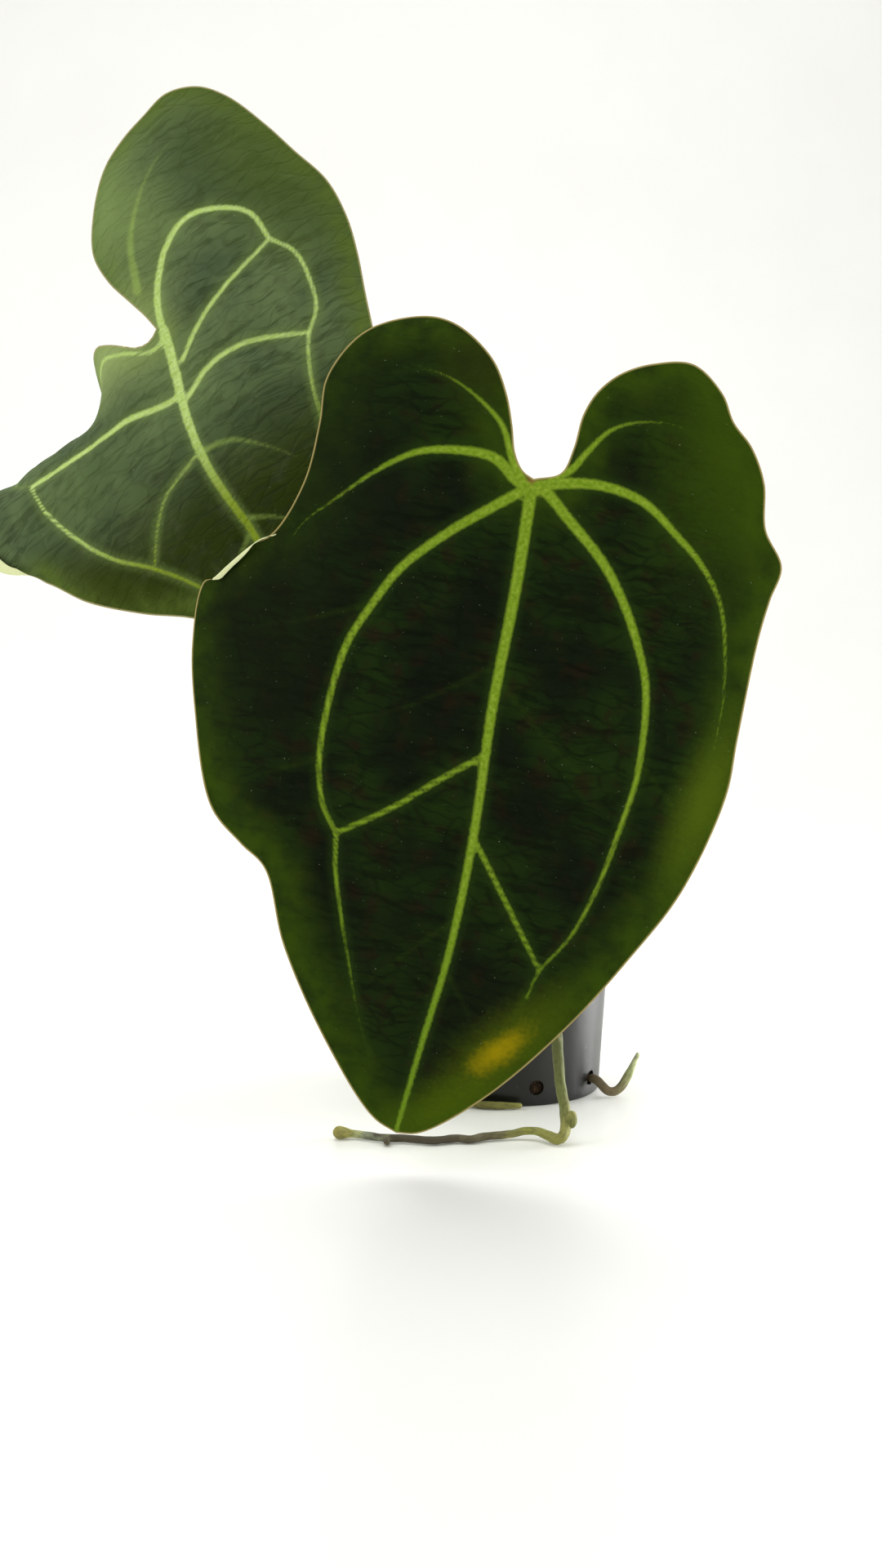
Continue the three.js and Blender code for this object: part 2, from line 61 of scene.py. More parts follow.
MM = 0.001
random.seed(7)
scene = bpy.context.scene

# %% [markdown]
# ## Small tools
#
# A piece is made as a bmesh, then turned into an object that stays at the origin, unturned and
# unscaled. That way its patterns, which read object coordinates, keep their real size.
#
# Colours are written as the sRGB hex values that a paint program shows. Blender's shaders work
# with linear light, so one function converts them.


# %% Objects, colours and nodes
def linear(colour):
    """Linear red, green, blue and alpha for an sRGB hex colour."""
    parts = [int(colour[i : i + 2], 16) / 255 for i in (1, 3, 5)]
    return [p / 12.92 if p <= 0.04045 else ((p + 0.055) / 1.055) ** 2.4 for p in parts] + [1.0]


def finished(name, bm, materials, replaced, smooth_angle=None):
    """Turns a bmesh into an object that rides on the one body and stands for CAD nodes."""
    mesh = bpy.data.meshes.new(name)
    bm.to_mesh(mesh)
    bm.free()
    for material in materials:
        mesh.materials.append(material)
    mesh.polygons.foreach_set("use_smooth", [True] * len(mesh.polygons))
    if smooth_angle is not None:
        mesh.set_sharp_from_angle(angle=math.radians(smooth_angle))
    obj = bpy.data.objects.new(name, mesh)
    scene.collection.objects.link(obj)
    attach(obj, "root")
    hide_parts(*replaced)
    print(f"{name}: {len(mesh.polygons)} faces")
    return obj


def fill(tree, node, inputs):
    """Sets a node's inputs. Each is another node's output, a hex colour or a plain value."""
    for key, value in inputs.items():
        socket = node.inputs[key]
        if isinstance(value, bpy.types.NodeSocket):
            tree.links.new(value, socket)
        elif isinstance(value, str):
            socket.default_value = linear(value)
        else:
            socket.default_value = value


def add(tree, kind, inputs, output=0, **settings):
    """Adds a node with its settings and inputs, and returns one of its outputs."""
    node = tree.nodes.new(kind)
    for key, value in settings.items():
        setattr(node, key, value)
    fill(tree, node, inputs)
    return node.outputs[output]


def new_material(name):
    """A material, its node tree and its Principled shader."""
    material = bpy.data.materials.new(name)
    material.use_nodes = True
    return material, material.node_tree, material.node_tree.nodes["Principled BSDF"]


# The kinds of node that are used most, and the settings that go with two of them.
ATTRIBUTE = "ShaderNodeAttribute"
BUMP = "ShaderNodeBump"
COORDINATES = "ShaderNodeTexCoord"
MAPPING = "ShaderNodeMapping"
NOISE = "ShaderNodeTexNoise"
CELLS = "ShaderNodeTexVoronoi"
RANGE = "ShaderNodeMapRange"
MIX = "ShaderNodeMix"
MATH = "ShaderNodeMath"
VECTOR = "ShaderNodeVectorMath"
SOFT = {"interpolation_type": "SMOOTHSTEP"}
COLOURS = {"output": 2, "data_type": "RGBA"}
# The distances that a blade keeps on its corners.
DISTANCES = ("vein", "faint", "edge")


def per_metre(size_mm):
    """The scale of a pattern whose features are size_mm across."""
    return 1000 / size_mm


def sized(place, size_mm, detail=None):
    """The inputs of a pattern whose features are size_mm across."""
    inputs = {"Vector": place, "Scale": per_metre(size_mm)}
    return inputs if detail is None else {**inputs, "Detail": detail}


def laid(tree, under, over, source, low, high, first=0.0, last=1.0):
    """A colour laid over another. Its share goes from first to last as source goes low to high."""
    share = add(tree, RANGE, {0: source, 1: low, 2: high, 3: first, 4: last}, **SOFT)
    return add(tree, MIX, {0: share, 6: under, 7: over}, **COLOURS)


# %% [markdown]
# ## Curves
#
# Leaf margins, veins, petioles and roots all follow smooth curves through a few points. The
# centripetal Catmull-Rom curve passes through each of its points and makes no loops, and the
# solid model uses the same one, so that both have the same outlines.


# %% Curves through points
def smooth_curve(corners, per_span=24):
    """A fine polyline through the corners."""
    points = np.array(corners, float)
    padded = np.vstack([2 * points[0] - points[1], points, 2 * points[-1] - points[-2]])
    spans = []
    for i in range(len(points) - 1):
        p0, p1, p2, p3 = padded[i : i + 4]
        gaps = [max(np.linalg.norm(b - a) ** 0.5, 1e-6) for a, b in ((p0, p1), (p1, p2), (p2, p3))]
        t1 = (p1 - p0) / gaps[0] - (p2 - p0) / (gaps[0] + gaps[1]) + (p2 - p1) / gaps[1]
        t2 = (p2 - p1) / gaps[1] - (p3 - p1) / (gaps[1] + gaps[2]) + (p3 - p2) / gaps[2]
        t1, t2 = t1 * gaps[1], t2 * gaps[1]
        t = np.linspace(0, 1, per_span, endpoint=False)[:, None]
        cubic = 2 * p1 - 2 * p2 + t1 + t2
        square = -3 * p1 + 3 * p2 - 2 * t1 - t2
        spans.append(cubic * t**3 + square * t**2 + t1 * t + p1)
    return np.vstack(spans + [points[-1:]])


def line_length(line):
    """The length of a polyline."""
    return float(np.linalg.norm(np.diff(line, axis=0), axis=1).sum())


def even_points(line, count):
    """count evenly spaced points along a polyline."""
    lengths = np.r_[0, np.cumsum(np.linalg.norm(np.diff(line, axis=0), axis=1))]
    places = np.linspace(0, lengths[-1], count)
    return np.stack([np.interp(places, lengths, line[:, i]) for i in range(line.shape[1])], -1)


def smooth_share(value):
    """0 below 0, 1 above 1 and a smooth rise between them."""
    t = np.clip(value, 0, 1)
    return t * t * (3 - 2 * t)


# %% [markdown]
# ## The blades as drawings
#
# A leaf grows flat and then bends. So each blade is drawn flat, in millimetres, with its junction
# with the petiole at 0, 0, its lobes at +y and its tip at -y. A few rolls then bend it about
# straight lines, as a sheet of card is bent over the edge of a table: this keeps its lengths, and
# the veins and the spots stay where they grow. Junctions, turns, rolls and outlines are those of
# the solid model. The curls are added here: each rolls a short stretch of the margin up tightly.

# %% The front blade
FRONT = {
    "junction": (2.5, -137.5, 238.2),
    "turn": -5,
    "lean": -6,
    "spin": 12,
    "rolls": [
        {"at": (0, 0), "toward": 180, "radius": 240, "bend": 30},
        {"at": (0, 0), "toward": 0, "radius": 280, "bend": 28},
        {"at": (0, -70), "toward": -90, "radius": 420, "bend": 24},
        {"at": (0, 10), "toward": 90, "radius": 160, "bend": 18},
    ],
    # The left margin shows the pale lower face where it is rolled up.
    "curls": [
        {"at": (-99, -45), "toward": 137, "radius": 1.3, "bend": -165, "near": (-98, -43, 11, 7)},
    ],
    "midrib": [(0, -232), (3, -195), (6, -160), (6, -120), (3, -75), (2, -35), (0, -6)],
    "left": {
        "lobe": (-18, 6),
        "flank": [(0, -232), (-9, -228), (-30, -204), (-52, -172), (-64, -147), (-75, -140.4),
                  (-89.5, -130), (-104, -98), (-111, -75), (-112, -54)],
        "shoulder": [(-103, -43.5), (-97, -38), (-88, -33), (-80, -14), (-79, 8), (-80, 24),
                     (-70, 42), (-50, 51)],
        "crown": [(-38, 50), (-23, 40.2)],
        "sinus": [(-15.4, 29), (-11, 18.5), (-8, 9.5), (-4, 4), (0, 2.2)],
    },
    "right": {
        "lobe": (17, 10),
        "flank": [(0, -232), (8, -230), (27, -212), (50, -180), (67, -150), (80, -123),
                  (88, -88), (87.5, -68), (87, -34), (88, -20)],
        "shoulder": [(89.5, -8), (81, 3), (77, 18), (70, 29), (62, 36), (56, 45), (44, 53)],
        "crown": [(31, 50), (21, 44), (14.6, 36), (11.5, 27), (10.8, 15)],
        "sinus": [(8.5, 6), (0, 2.2)],
    },
    # Each vein: width at its start and end in millimetres, and the points that it passes. It
    # fades out where its width falls below zero.
    "veins": [
        (3.4, 0.9, [(0, -2), (2, -35), (3, -75), (6, -120), (6, -160), (3, -195), (0, -231)]),
        (2.8, 1.2, [(-2.8, -2.3), (-12.3, -10.3), (-24, -20.6), (-38, -35.9), (-46, -51.6),
                    (-50.8, -63.8), (-53, -79.8), (-53, -96.9), (-51.9, -108)]),
        (1.1, 0.8, [(-51.9, -108), (-47.8, -120), (-40.8, -129)]),
        (1.1, -1.2, [(-40.8, -129), (-39, -139.7), (-33.8, -156), (-27.7, -172.4),
                    (-21.7, -189), (-14.3, -206)]),
        (1.3, 1.0, [(2.5, -93.3), (-8.7, -102.8), (-23, -115.9), (-40.8, -129)]),
        (3.4, -1.2, [(-2, -1), (-6.4, 1.2), (-14.6, 6.5), (-27.5, 6.8), (-41, 3.7), (-54, -5),
                    (-66.5, -17), (-76.6, -27), (-82, -37)]),
        (2.2, -1.6, [(-4, 1.5), (-8, 6.4), (-14.3, 17.7), (-23, 24.6), (-35.9, 30.8),
                    (-45, 32), (-56, 29.6)]),
        (3.0, -0.2, [(1.5, -1.5), (3.8, -0.9), (15.5, -9.5), (29, -20.4), (38.7, -32),
                    (47.7, -47), (52, -57), (55, -73), (56, -90), (54.6, -103), (51.3, -126),
                    (45.7, -146), (37.5, -161), (35.2, -171)]),
        (1.1, 0.9, [(5, -118), (7.5, -121.8), (17.9, -135), (27.5, -147.4), (37.2, -160)]),
        (3.3, -1.0, [(2, 0), (8.7, 2.4), (23.5, 4.8), (38, 2.4), (51, -5.7), (61, -13),
                    (71, -24.8), (76.4, -40.5), (79.5, -56.6), (80, -76)]),
        (2.2, -1.6, [(6, 3.5), (11.7, 7.8), (15.7, 14.8), (22, 24), (32, 29), (43, 30.3),
                    (52.6, 27.7)]),
    ],
    # Thin veins that hardly show on the upper face and stand out under it.
    "faint": [
        (0.8, -1.6, [(-51, -104), (-66, -112), (-82, -120)]),
        (0.8, -1.6, [(5, -150), (-8, -164), (-22, -180)]),
        (0.8, -1.6, [(4, -165), (16, -180), (24, -190)]),
        (0.8, -1.6, [(55, -82), (66, -92), (78, -104)]),
        (0.8, -1.6, [(-46, -50), (-64, -58), (-88, -66)]),
        (0.8, -1.6, [(35, -171), (26, -190), (12, -212)]),
        (0.8, -1.6, [(3, -60), (-12, -72), (-30, -84), (-52, -92)]),
        (0.8, -1.6, [(3, -66), (20, -80), (38, -92), (55, -98)]),
    ],
}
print("front blade:", len(FRONT["veins"]), "veins")

# %% The back blade
BACK = {
    "junction": (-133.5, -32.5, 300.4),
    "turn": -25,
    "lean": -12,
    "spin": -34,
    "rolls": [
        {"at": (0, 0), "toward": 180, "radius": 260, "bend": 14},
        {"at": (0, 0), "toward": 0, "radius": 200, "bend": 25},
        {"at": (0, -60), "toward": -90, "radius": 160, "bend": 50},
        {"at": (-40, -27), "toward": 79, "radius": 18, "bend": 95, "side": -1, "from": 26,
         "blend": 28},
    ],
    # Here the curl runs round the lobe, so it bends about a circle.
    "curls": [
        {"at": (-86, -5), "ring": 38.4, "radius": 2.6, "bend": -160, "near": (-124, -20, 26, 14)},
    ],
    "midrib": [(-7, -168), (-7, -140), (-6, -110), (-7, -85), (-9, -60), (-8, -40), (-4, -22),
               (0, -6)],
    "left": {
        "lobe": (-50, 10),
        "flank": [(-7, -168), (-15, -152), (-27, -124), (-44, -104), (-63, -89), (-84, -69.5),
                  (-101, -48), (-113, -42.5), (-125, -35)],
        "shoulder": [(-135, -18), (-135, 4), (-119, 28)],
        "crown": [(-102, 50), (-84, 62), (-66, 64), (-52, 56)],
        "sinus": [(-44, 42), (-38, 27), (-31, 15.5), (-21.5, 8.2), (-13, 0.4), (-7, -0.8),
                  (-2.5, 1.5)],
    },
    "right": {
        "lobe": (14, 14),
        "flank": [(-7, -168), (4, -164), (22, -146), (42, -118), (58, -88), (68, -58),
                  (75, -32)],
        "shoulder": [(80, -14), (83, 2), (83, 20), (77.5, 38), (72.5, 54.5), (64.5, 74)],
        "crown": [(56, 84), (44, 88), (32, 84.5), (21, 81), (8.5, 74.5), (-4, 61), (-12, 46),
                  (-11.5, 32)],
        "sinus": [(-7.5, 19), (-4.2, 9), (-2.5, 1.5)],
    },
    "veins": [
        (3.6, 1.0, [(0, -1), (-4, -20), (-8, -40), (-9, -55), (-8, -70), (-6, -86), (-6, -110),
                    (-7, -140), (-7, -167)]),
        (2.4, 1.1, [(0, 0), (0.6, 3), (5, 15), (16, 29), (29, 35), (43, 30), (51, 22),
                    (53, 8)]),
        (1.0, 0.0, [(53, 8), (59, -2), (59, -16), (56, -28), (49, -36), (45, -44), (42, -53),
                    (37, -75), (26, -106), (12, -138)]),
        (1.3, 0.7, [(1, -16), (14, -7), (29, 0), (53, 8)]),
        (1.6, 1.0, [(-3, -30), (10, -25), (25, -25), (49, -35)]),
        (1.9, 1.5, [(-3, -20), (-7, -27), (-33, -21), (-60, -17), (-86, -12)]),
        (1.2, 0.4, [(-86, -12), (-84, -27), (-76, -45), (-64, -63), (-49, -78), (-36, -95),
                    (-24, -118), (-14, -146)]),
        (0.5, 0.3, [(-8, -48), (-11, -52), (-30, -58), (-41, -68), (-48, -77)]),
        (1.0, -0.6, [(-1, -3), (-8, -5), (-20, 2.5), (-33, 9), (-50, 20), (-70, 24), (-90, 14),
                    (-95, -1), (-86, -12)]),
    ],
    "faint": [
        (2.4, -2.2, [(-2, 20), (6, 41), (24, 60), (38, 67)]),
        (1.2, -1.8, [(-9, -52), (5, -57), (14, -65), (24, -77)]),
        (0.6, -2.0, [(-7, -84), (6, -92), (18, -104)]),
        (0.6, -2.0, [(-6, -90), (-18, -98), (-32, -103)]),
    ],
}
print("back blade:", len(BACK["veins"]), "veins")


# %% [markdown]
# ## From the drawing to the bent leaf
#
# The functions below work on whole arrays of points at once, because a blade has tens of
# thousands of them.


# %% Bending a blade
def bent(leaf, flat):
    """Points of the bent blade in its own frame, in millimetres, for points of the drawing."""
    local = np.zeros(flat.shape[:-1] + (3,))
    local[..., :2] = flat
    for roll in leaf["rolls"] + leaf["curls"]:
        toward = flat - np.array(roll["at"], float)
        if "ring" in roll:
            # A curl about a circle: everything beyond it turns up or down.
            distance = np.linalg.norm(toward, axis=-1)
            toward = toward / np.maximum(distance, 1e-6)[..., None]
            distance = distance - roll["ring"]
        else:
            angle = math.radians(roll["toward"])
            distance = toward @ np.array([math.cos(angle), math.sin(angle)])
            toward = np.array([math.cos(angle), math.sin(angle)])
        largest = math.radians(abs(roll["bend"]))
        radius = roll["radius"]
        turned = np.clip(distance / radius, 0, largest)
        beyond = np.maximum(distance - radius * largest, 0)
        along = radius * np.sin(turned) + beyond * math.cos(largest)
        away = radius * (1 - np.cos(turned)) + beyond * math.sin(largest)
        share = np.where(distance > 0, 1.0, 0.0)
        if "side" in roll:
            out = roll["side"] * flat[..., 0]
            share = share * smooth_share((out - roll["from"]) / roll["blend"])
        if "near" in roll:
            x, y, reach, blend = roll["near"]
            gap = np.linalg.norm(flat - np.array([x, y], float), axis=-1)
            share = share * (1 - smooth_share((gap - reach) / blend))
        local[..., :2] += ((along - distance) * share)[..., None] * toward
        local[..., 2] -= away * share * math.copysign(1, roll["bend"])
    return local


def face_normals(leaf, flat):
    """The upper face's normals of the bent blade, in its own frame."""
    step = 0.4
    across = bent(leaf, flat + [step, 0]) - bent(leaf, flat - [step, 0])
    up = bent(leaf, flat + [0, step]) - bent(leaf, flat - [0, step])
    normals = np.cross(across, up)
    return normals / np.linalg.norm(normals, axis=-1, keepdims=True)


def leaf_turn(leaf):
    """The matrix that turns a blade from its own frame into the plant's."""
    turn = Matrix.Rotation(math.radians(leaf["turn"]), 3, "Z")
    lean = Matrix.Rotation(math.radians(90 + leaf["lean"]), 3, "X")
    spin = Matrix.Rotation(math.radians(-leaf["spin"]), 3, "Z")
    return np.array(turn @ lean @ spin)


def placed(leaf, local):
    """Points of the plant, in metres, for points of a blade's own frame."""
    return (np.array(leaf["junction"]) + local @ leaf_turn(leaf).T) * MM


# %% [markdown]
# ## How a blade is meshed
#
# A heart can't be covered by one plain grid without a fold at its notch. Each half is therefore
# a grid of its own. Its columns run from the tip along the margin, round the lobe and down into
# the notch, and its rows run from the midrib out to the margin. Inside the lobe the inner end of
# the columns goes out to the lobe's middle by two straight legs and back again. The rows are then
# roughly parallel to the margin, which is how the tissue of such a leaf is laid out too.


# %% The grid of one half
FLANK_COLUMNS = 130
INNER_COLUMNS = 28
OUTER_COLUMNS = 62
ROWS = 70


def half_lines(leaf, half):
    """The inner and outer ends of the columns of one half, in the flat drawing."""
    sections = (
        ("flank", FLANK_COLUMNS), ("shoulder", INNER_COLUMNS + OUTER_COLUMNS - 1),
        ("crown", OUTER_COLUMNS), ("sinus", INNER_COLUMNS),
    )
    per_span = 24
    margin = smooth_curve(sum((half[name] for name, _ in sections), []), per_span)
    edge, start, last = [], 0, -1
    for name, columns in sections:
        last += len(half[name])
        edge.append(even_points(margin[start : last * per_span + 1], columns)[1:])
        start = last * per_span
    midrib = even_points(smooth_curve(leaf["midrib"]), FLANK_COLUMNS)
    # The second leg points at the end of the shoulder, so that the columns fan out evenly.
    inner = np.array(half["lobe"], float)
    outer = inner + 0.6 * (np.array(half["shoulder"][-1]) - inner)
    short, long = (np.linspace(0, 1, n)[1:, None] for n in (INNER_COLUMNS, OUTER_COLUMNS))
    legs = [(midrib[-1], inner, short), (inner, outer, long), (outer, inner, long),
            (inner, midrib[-1], short)]
    spine = np.vstack([midrib] + [a + (b - a) * out for a, b, out in legs])
    return spine, np.vstack([margin[:1]] + edge)


def line_distance(points, line, widths):
    """Distance in millimetres from each point to the edge of a line that has a width."""
    nearest = np.empty(len(points), np.float32)
    line = line.astype(np.float32)
    at_once = 4000
    for start in range(0, len(points), at_once):
        part = points[start : start + at_once].astype(np.float32)
        gaps = np.linalg.norm(part[:, None] - line[None], axis=2) - widths[None] / 2
        nearest[start : start + at_once] = gaps.min(1)
    return nearest


def vein_distance(points, veins):
    """Distance from each point to the edge of the nearest vein, in millimetres.

    An end width below zero makes a vein fade out before its end.
    """
    far, spacing = 60.0, 0.8
    nearest = np.full(len(points), far, np.float32)
    for start_width, end_width, corners in veins:
        line = smooth_curve(corners)
        count = int(line_length(line) / spacing) + 2
        widths = np.linspace(start_width, end_width, count).astype(np.float32)
        nearest = np.minimum(nearest, line_distance(points, even_points(line, count), widths))
    return nearest


# %% [markdown]
# ## Building a blade
#
# Each half starts as a plain grid from `create_grid`, whose corners are then moved to their
# places. The upper face is a little lower along the veins and puffs up between them. Three
# numbers are kept on each corner, for the materials: its place in the flat drawing, its distance
# to the nearest vein, and its distance to the margin. They are distances rather than colours,
# because a distance stays sharp between two corners and a colour would blur.
#
# The thickness comes from a Solidify modifier. A vertex group makes it thick where the veins
# stand out under the leaf and thin at the margin.

# %% Blade maker
WELD = 0.004
THICKEST = 3.4
BLADE_BODY = 0.5
RIB_SHARE = 0.62
WIDE_VEIN = 3.2
GROOVE, THIN_GROOVE = 0.5, 0.12
SWELL, SWELL_SIZE = 0.6, 26
FOLD_LENGTH, FOLD_WIDTH = 24, 4.2
BOX_ROOM = 0.7


def near(distance, width):
    """1 within a line, and a fall to nothing over about twice this width outside it."""
    return np.exp(-((np.maximum(distance, 0) / width) ** 2))


def blade_bmesh(leaf):
    """Both halves of a blade as flat grids, joined. Their corners hold the drawing's places."""
    bm = bmesh.new()
    for side in ("left", "right"):
        spine, edge = half_lines(leaf, leaf[side])
        made = bmesh.ops.create_grid(
            bm, x_segments=len(spine) - 1, y_segments=ROWS - 1, size=1
        )["verts"]
        for vert in made:
            column = round((vert.co.x + 1) / 2 * (len(spine) - 1))
            # Rows are closer together at the margin, which curls in places.
            out = 1 - (0.5 - vert.co.y / 2) ** 1.25
            place = spine[column] + (edge[column] - spine[column]) * out
            vert.co = (place[0], place[1], 0)
    bmesh.ops.remove_doubles(bm, verts=bm.verts, dist=WELD)
    bmesh.ops.dissolve_degenerate(bm, dist=WELD / 2, edges=bm.edges)
    return bm


def blade(name, leaf, materials, look):
    """A blade with its relief, its stored distances and its thickness."""
    bm = blade_bmesh(leaf)
    flat = np.array([v.co[:2] for v in bm.verts])
    margins = [half_lines(leaf, leaf[side])[1] for side in ("left", "right")]
    outline = np.vstack([even_points(m, 900) for m in margins])
    edge = line_distance(flat, outline, np.zeros(len(outline), np.float32))
    vein = vein_distance(flat, leaf["veins"])
    faint = vein_distance(flat, leaf["faint"])
    normals = face_normals(leaf, flat)
    swell = [noise.noise(Vector((x / SWELL_SIZE, y / SWELL_SIZE, 3.1))) for x, y in flat]
    swell = np.array(swell)
    # Low folds run outward from the midrib, as the small veins do.
    slope = math.radians(look["fold_angle"])
    fold = [(abs(x) * math.cos(slope) - y * math.sin(slope),
             abs(x) * math.sin(slope) + y * math.cos(slope)) for x, y in flat]
    fold = [noise.noise(Vector((u / FOLD_LENGTH, v / FOLD_WIDTH, 8.7))) for u, v in fold]
    inner = smooth_share(edge / 12)
    height = -GROOVE * near(vein, 1.4) * inner
    height += look["puff"] * (1 - near(vein, 8)) * inner
    height += -THIN_GROOVE * near(faint, 0.8) * inner
    height += (SWELL * swell + look["fold"] * np.array(fold)) * inner
    height += swell * (1 - smooth_share(edge / 18)) * smooth_share(edge / 2)
    places = placed(leaf, bent(leaf, flat) + normals * height[:, None])
    # Relief may reach a little past the solid blade. The blade is drawn in to fit its box, and
    # its joint with the petiole stays where it is.
    nodes = ["_".join(name.split("_")[:2])]
    low, high = (np.array(corner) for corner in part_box(nodes[0]))
    joint = np.array(leaf["junction"]) * MM
    below = np.minimum(1, (joint - low) / (joint - places.min(0) + BOX_ROOM * MM))
    above = np.minimum(1, (high - joint) / (places.max(0) - joint + BOX_ROOM * MM))
    away = places - joint
    for vert, place in zip(bm.verts, joint + away * np.where(away < 0, below, above)):
        vert.co = place
    upper = Vector(leaf_turn(leaf) @ np.array([0.0, 0.0, 1.0]))
    # Both halves are wound the same way only after this step.
    bmesh.ops.recalc_face_normals(bm, faces=bm.faces)
    bm.normal_update()
    facing = sum((f.normal * f.calc_area() for f in bm.faces), Vector())
    if facing.dot(upper) < 0:
        bmesh.ops.reverse_faces(bm, faces=bm.faces)
    obj = finished(name, bm, materials, nodes)
    mesh = obj.data
    for key, values in zip(DISTANCES, (vein, faint, edge)):
        mesh.attributes.new(key, "FLOAT", "POINT").data.foreach_set("value", values)
    drawn = np.column_stack([flat * MM, np.zeros(len(flat))])
    mesh.attributes.new("drawing", "FLOAT_VECTOR", "POINT").data.foreach_set(
        "vector", drawn.ravel()
    )
    # The ribs under the leaf are as deep as they are wide, and fade to the margin.
    size = np.clip(-vein, 0, WIDE_VEIN) / WIDE_VEIN
    rib = near(vein, 0.9) * (0.35 + 0.65 * size)
    depth = BLADE_BODY * (0.45 + 0.55 * smooth_share(edge / 6))
    depth += (THICKEST - BLADE_BODY) * RIB_SHARE * rib * smooth_share(edge / 8)
    group = obj.vertex_groups.new(name="thickness")
    for index, value in enumerate(np.clip(depth / THICKEST, 0.03, 1)):
        group.add([index], float(value), "REPLACE")
    shell = obj.modifiers.new("thickness", "SOLIDIFY")
    shell.thickness = THICKEST * MM
    shell.offset = -1
    shell.vertex_group = "thickness"
    shell.material_offset = 1
    shell.material_offset_rim = 2
    return obj
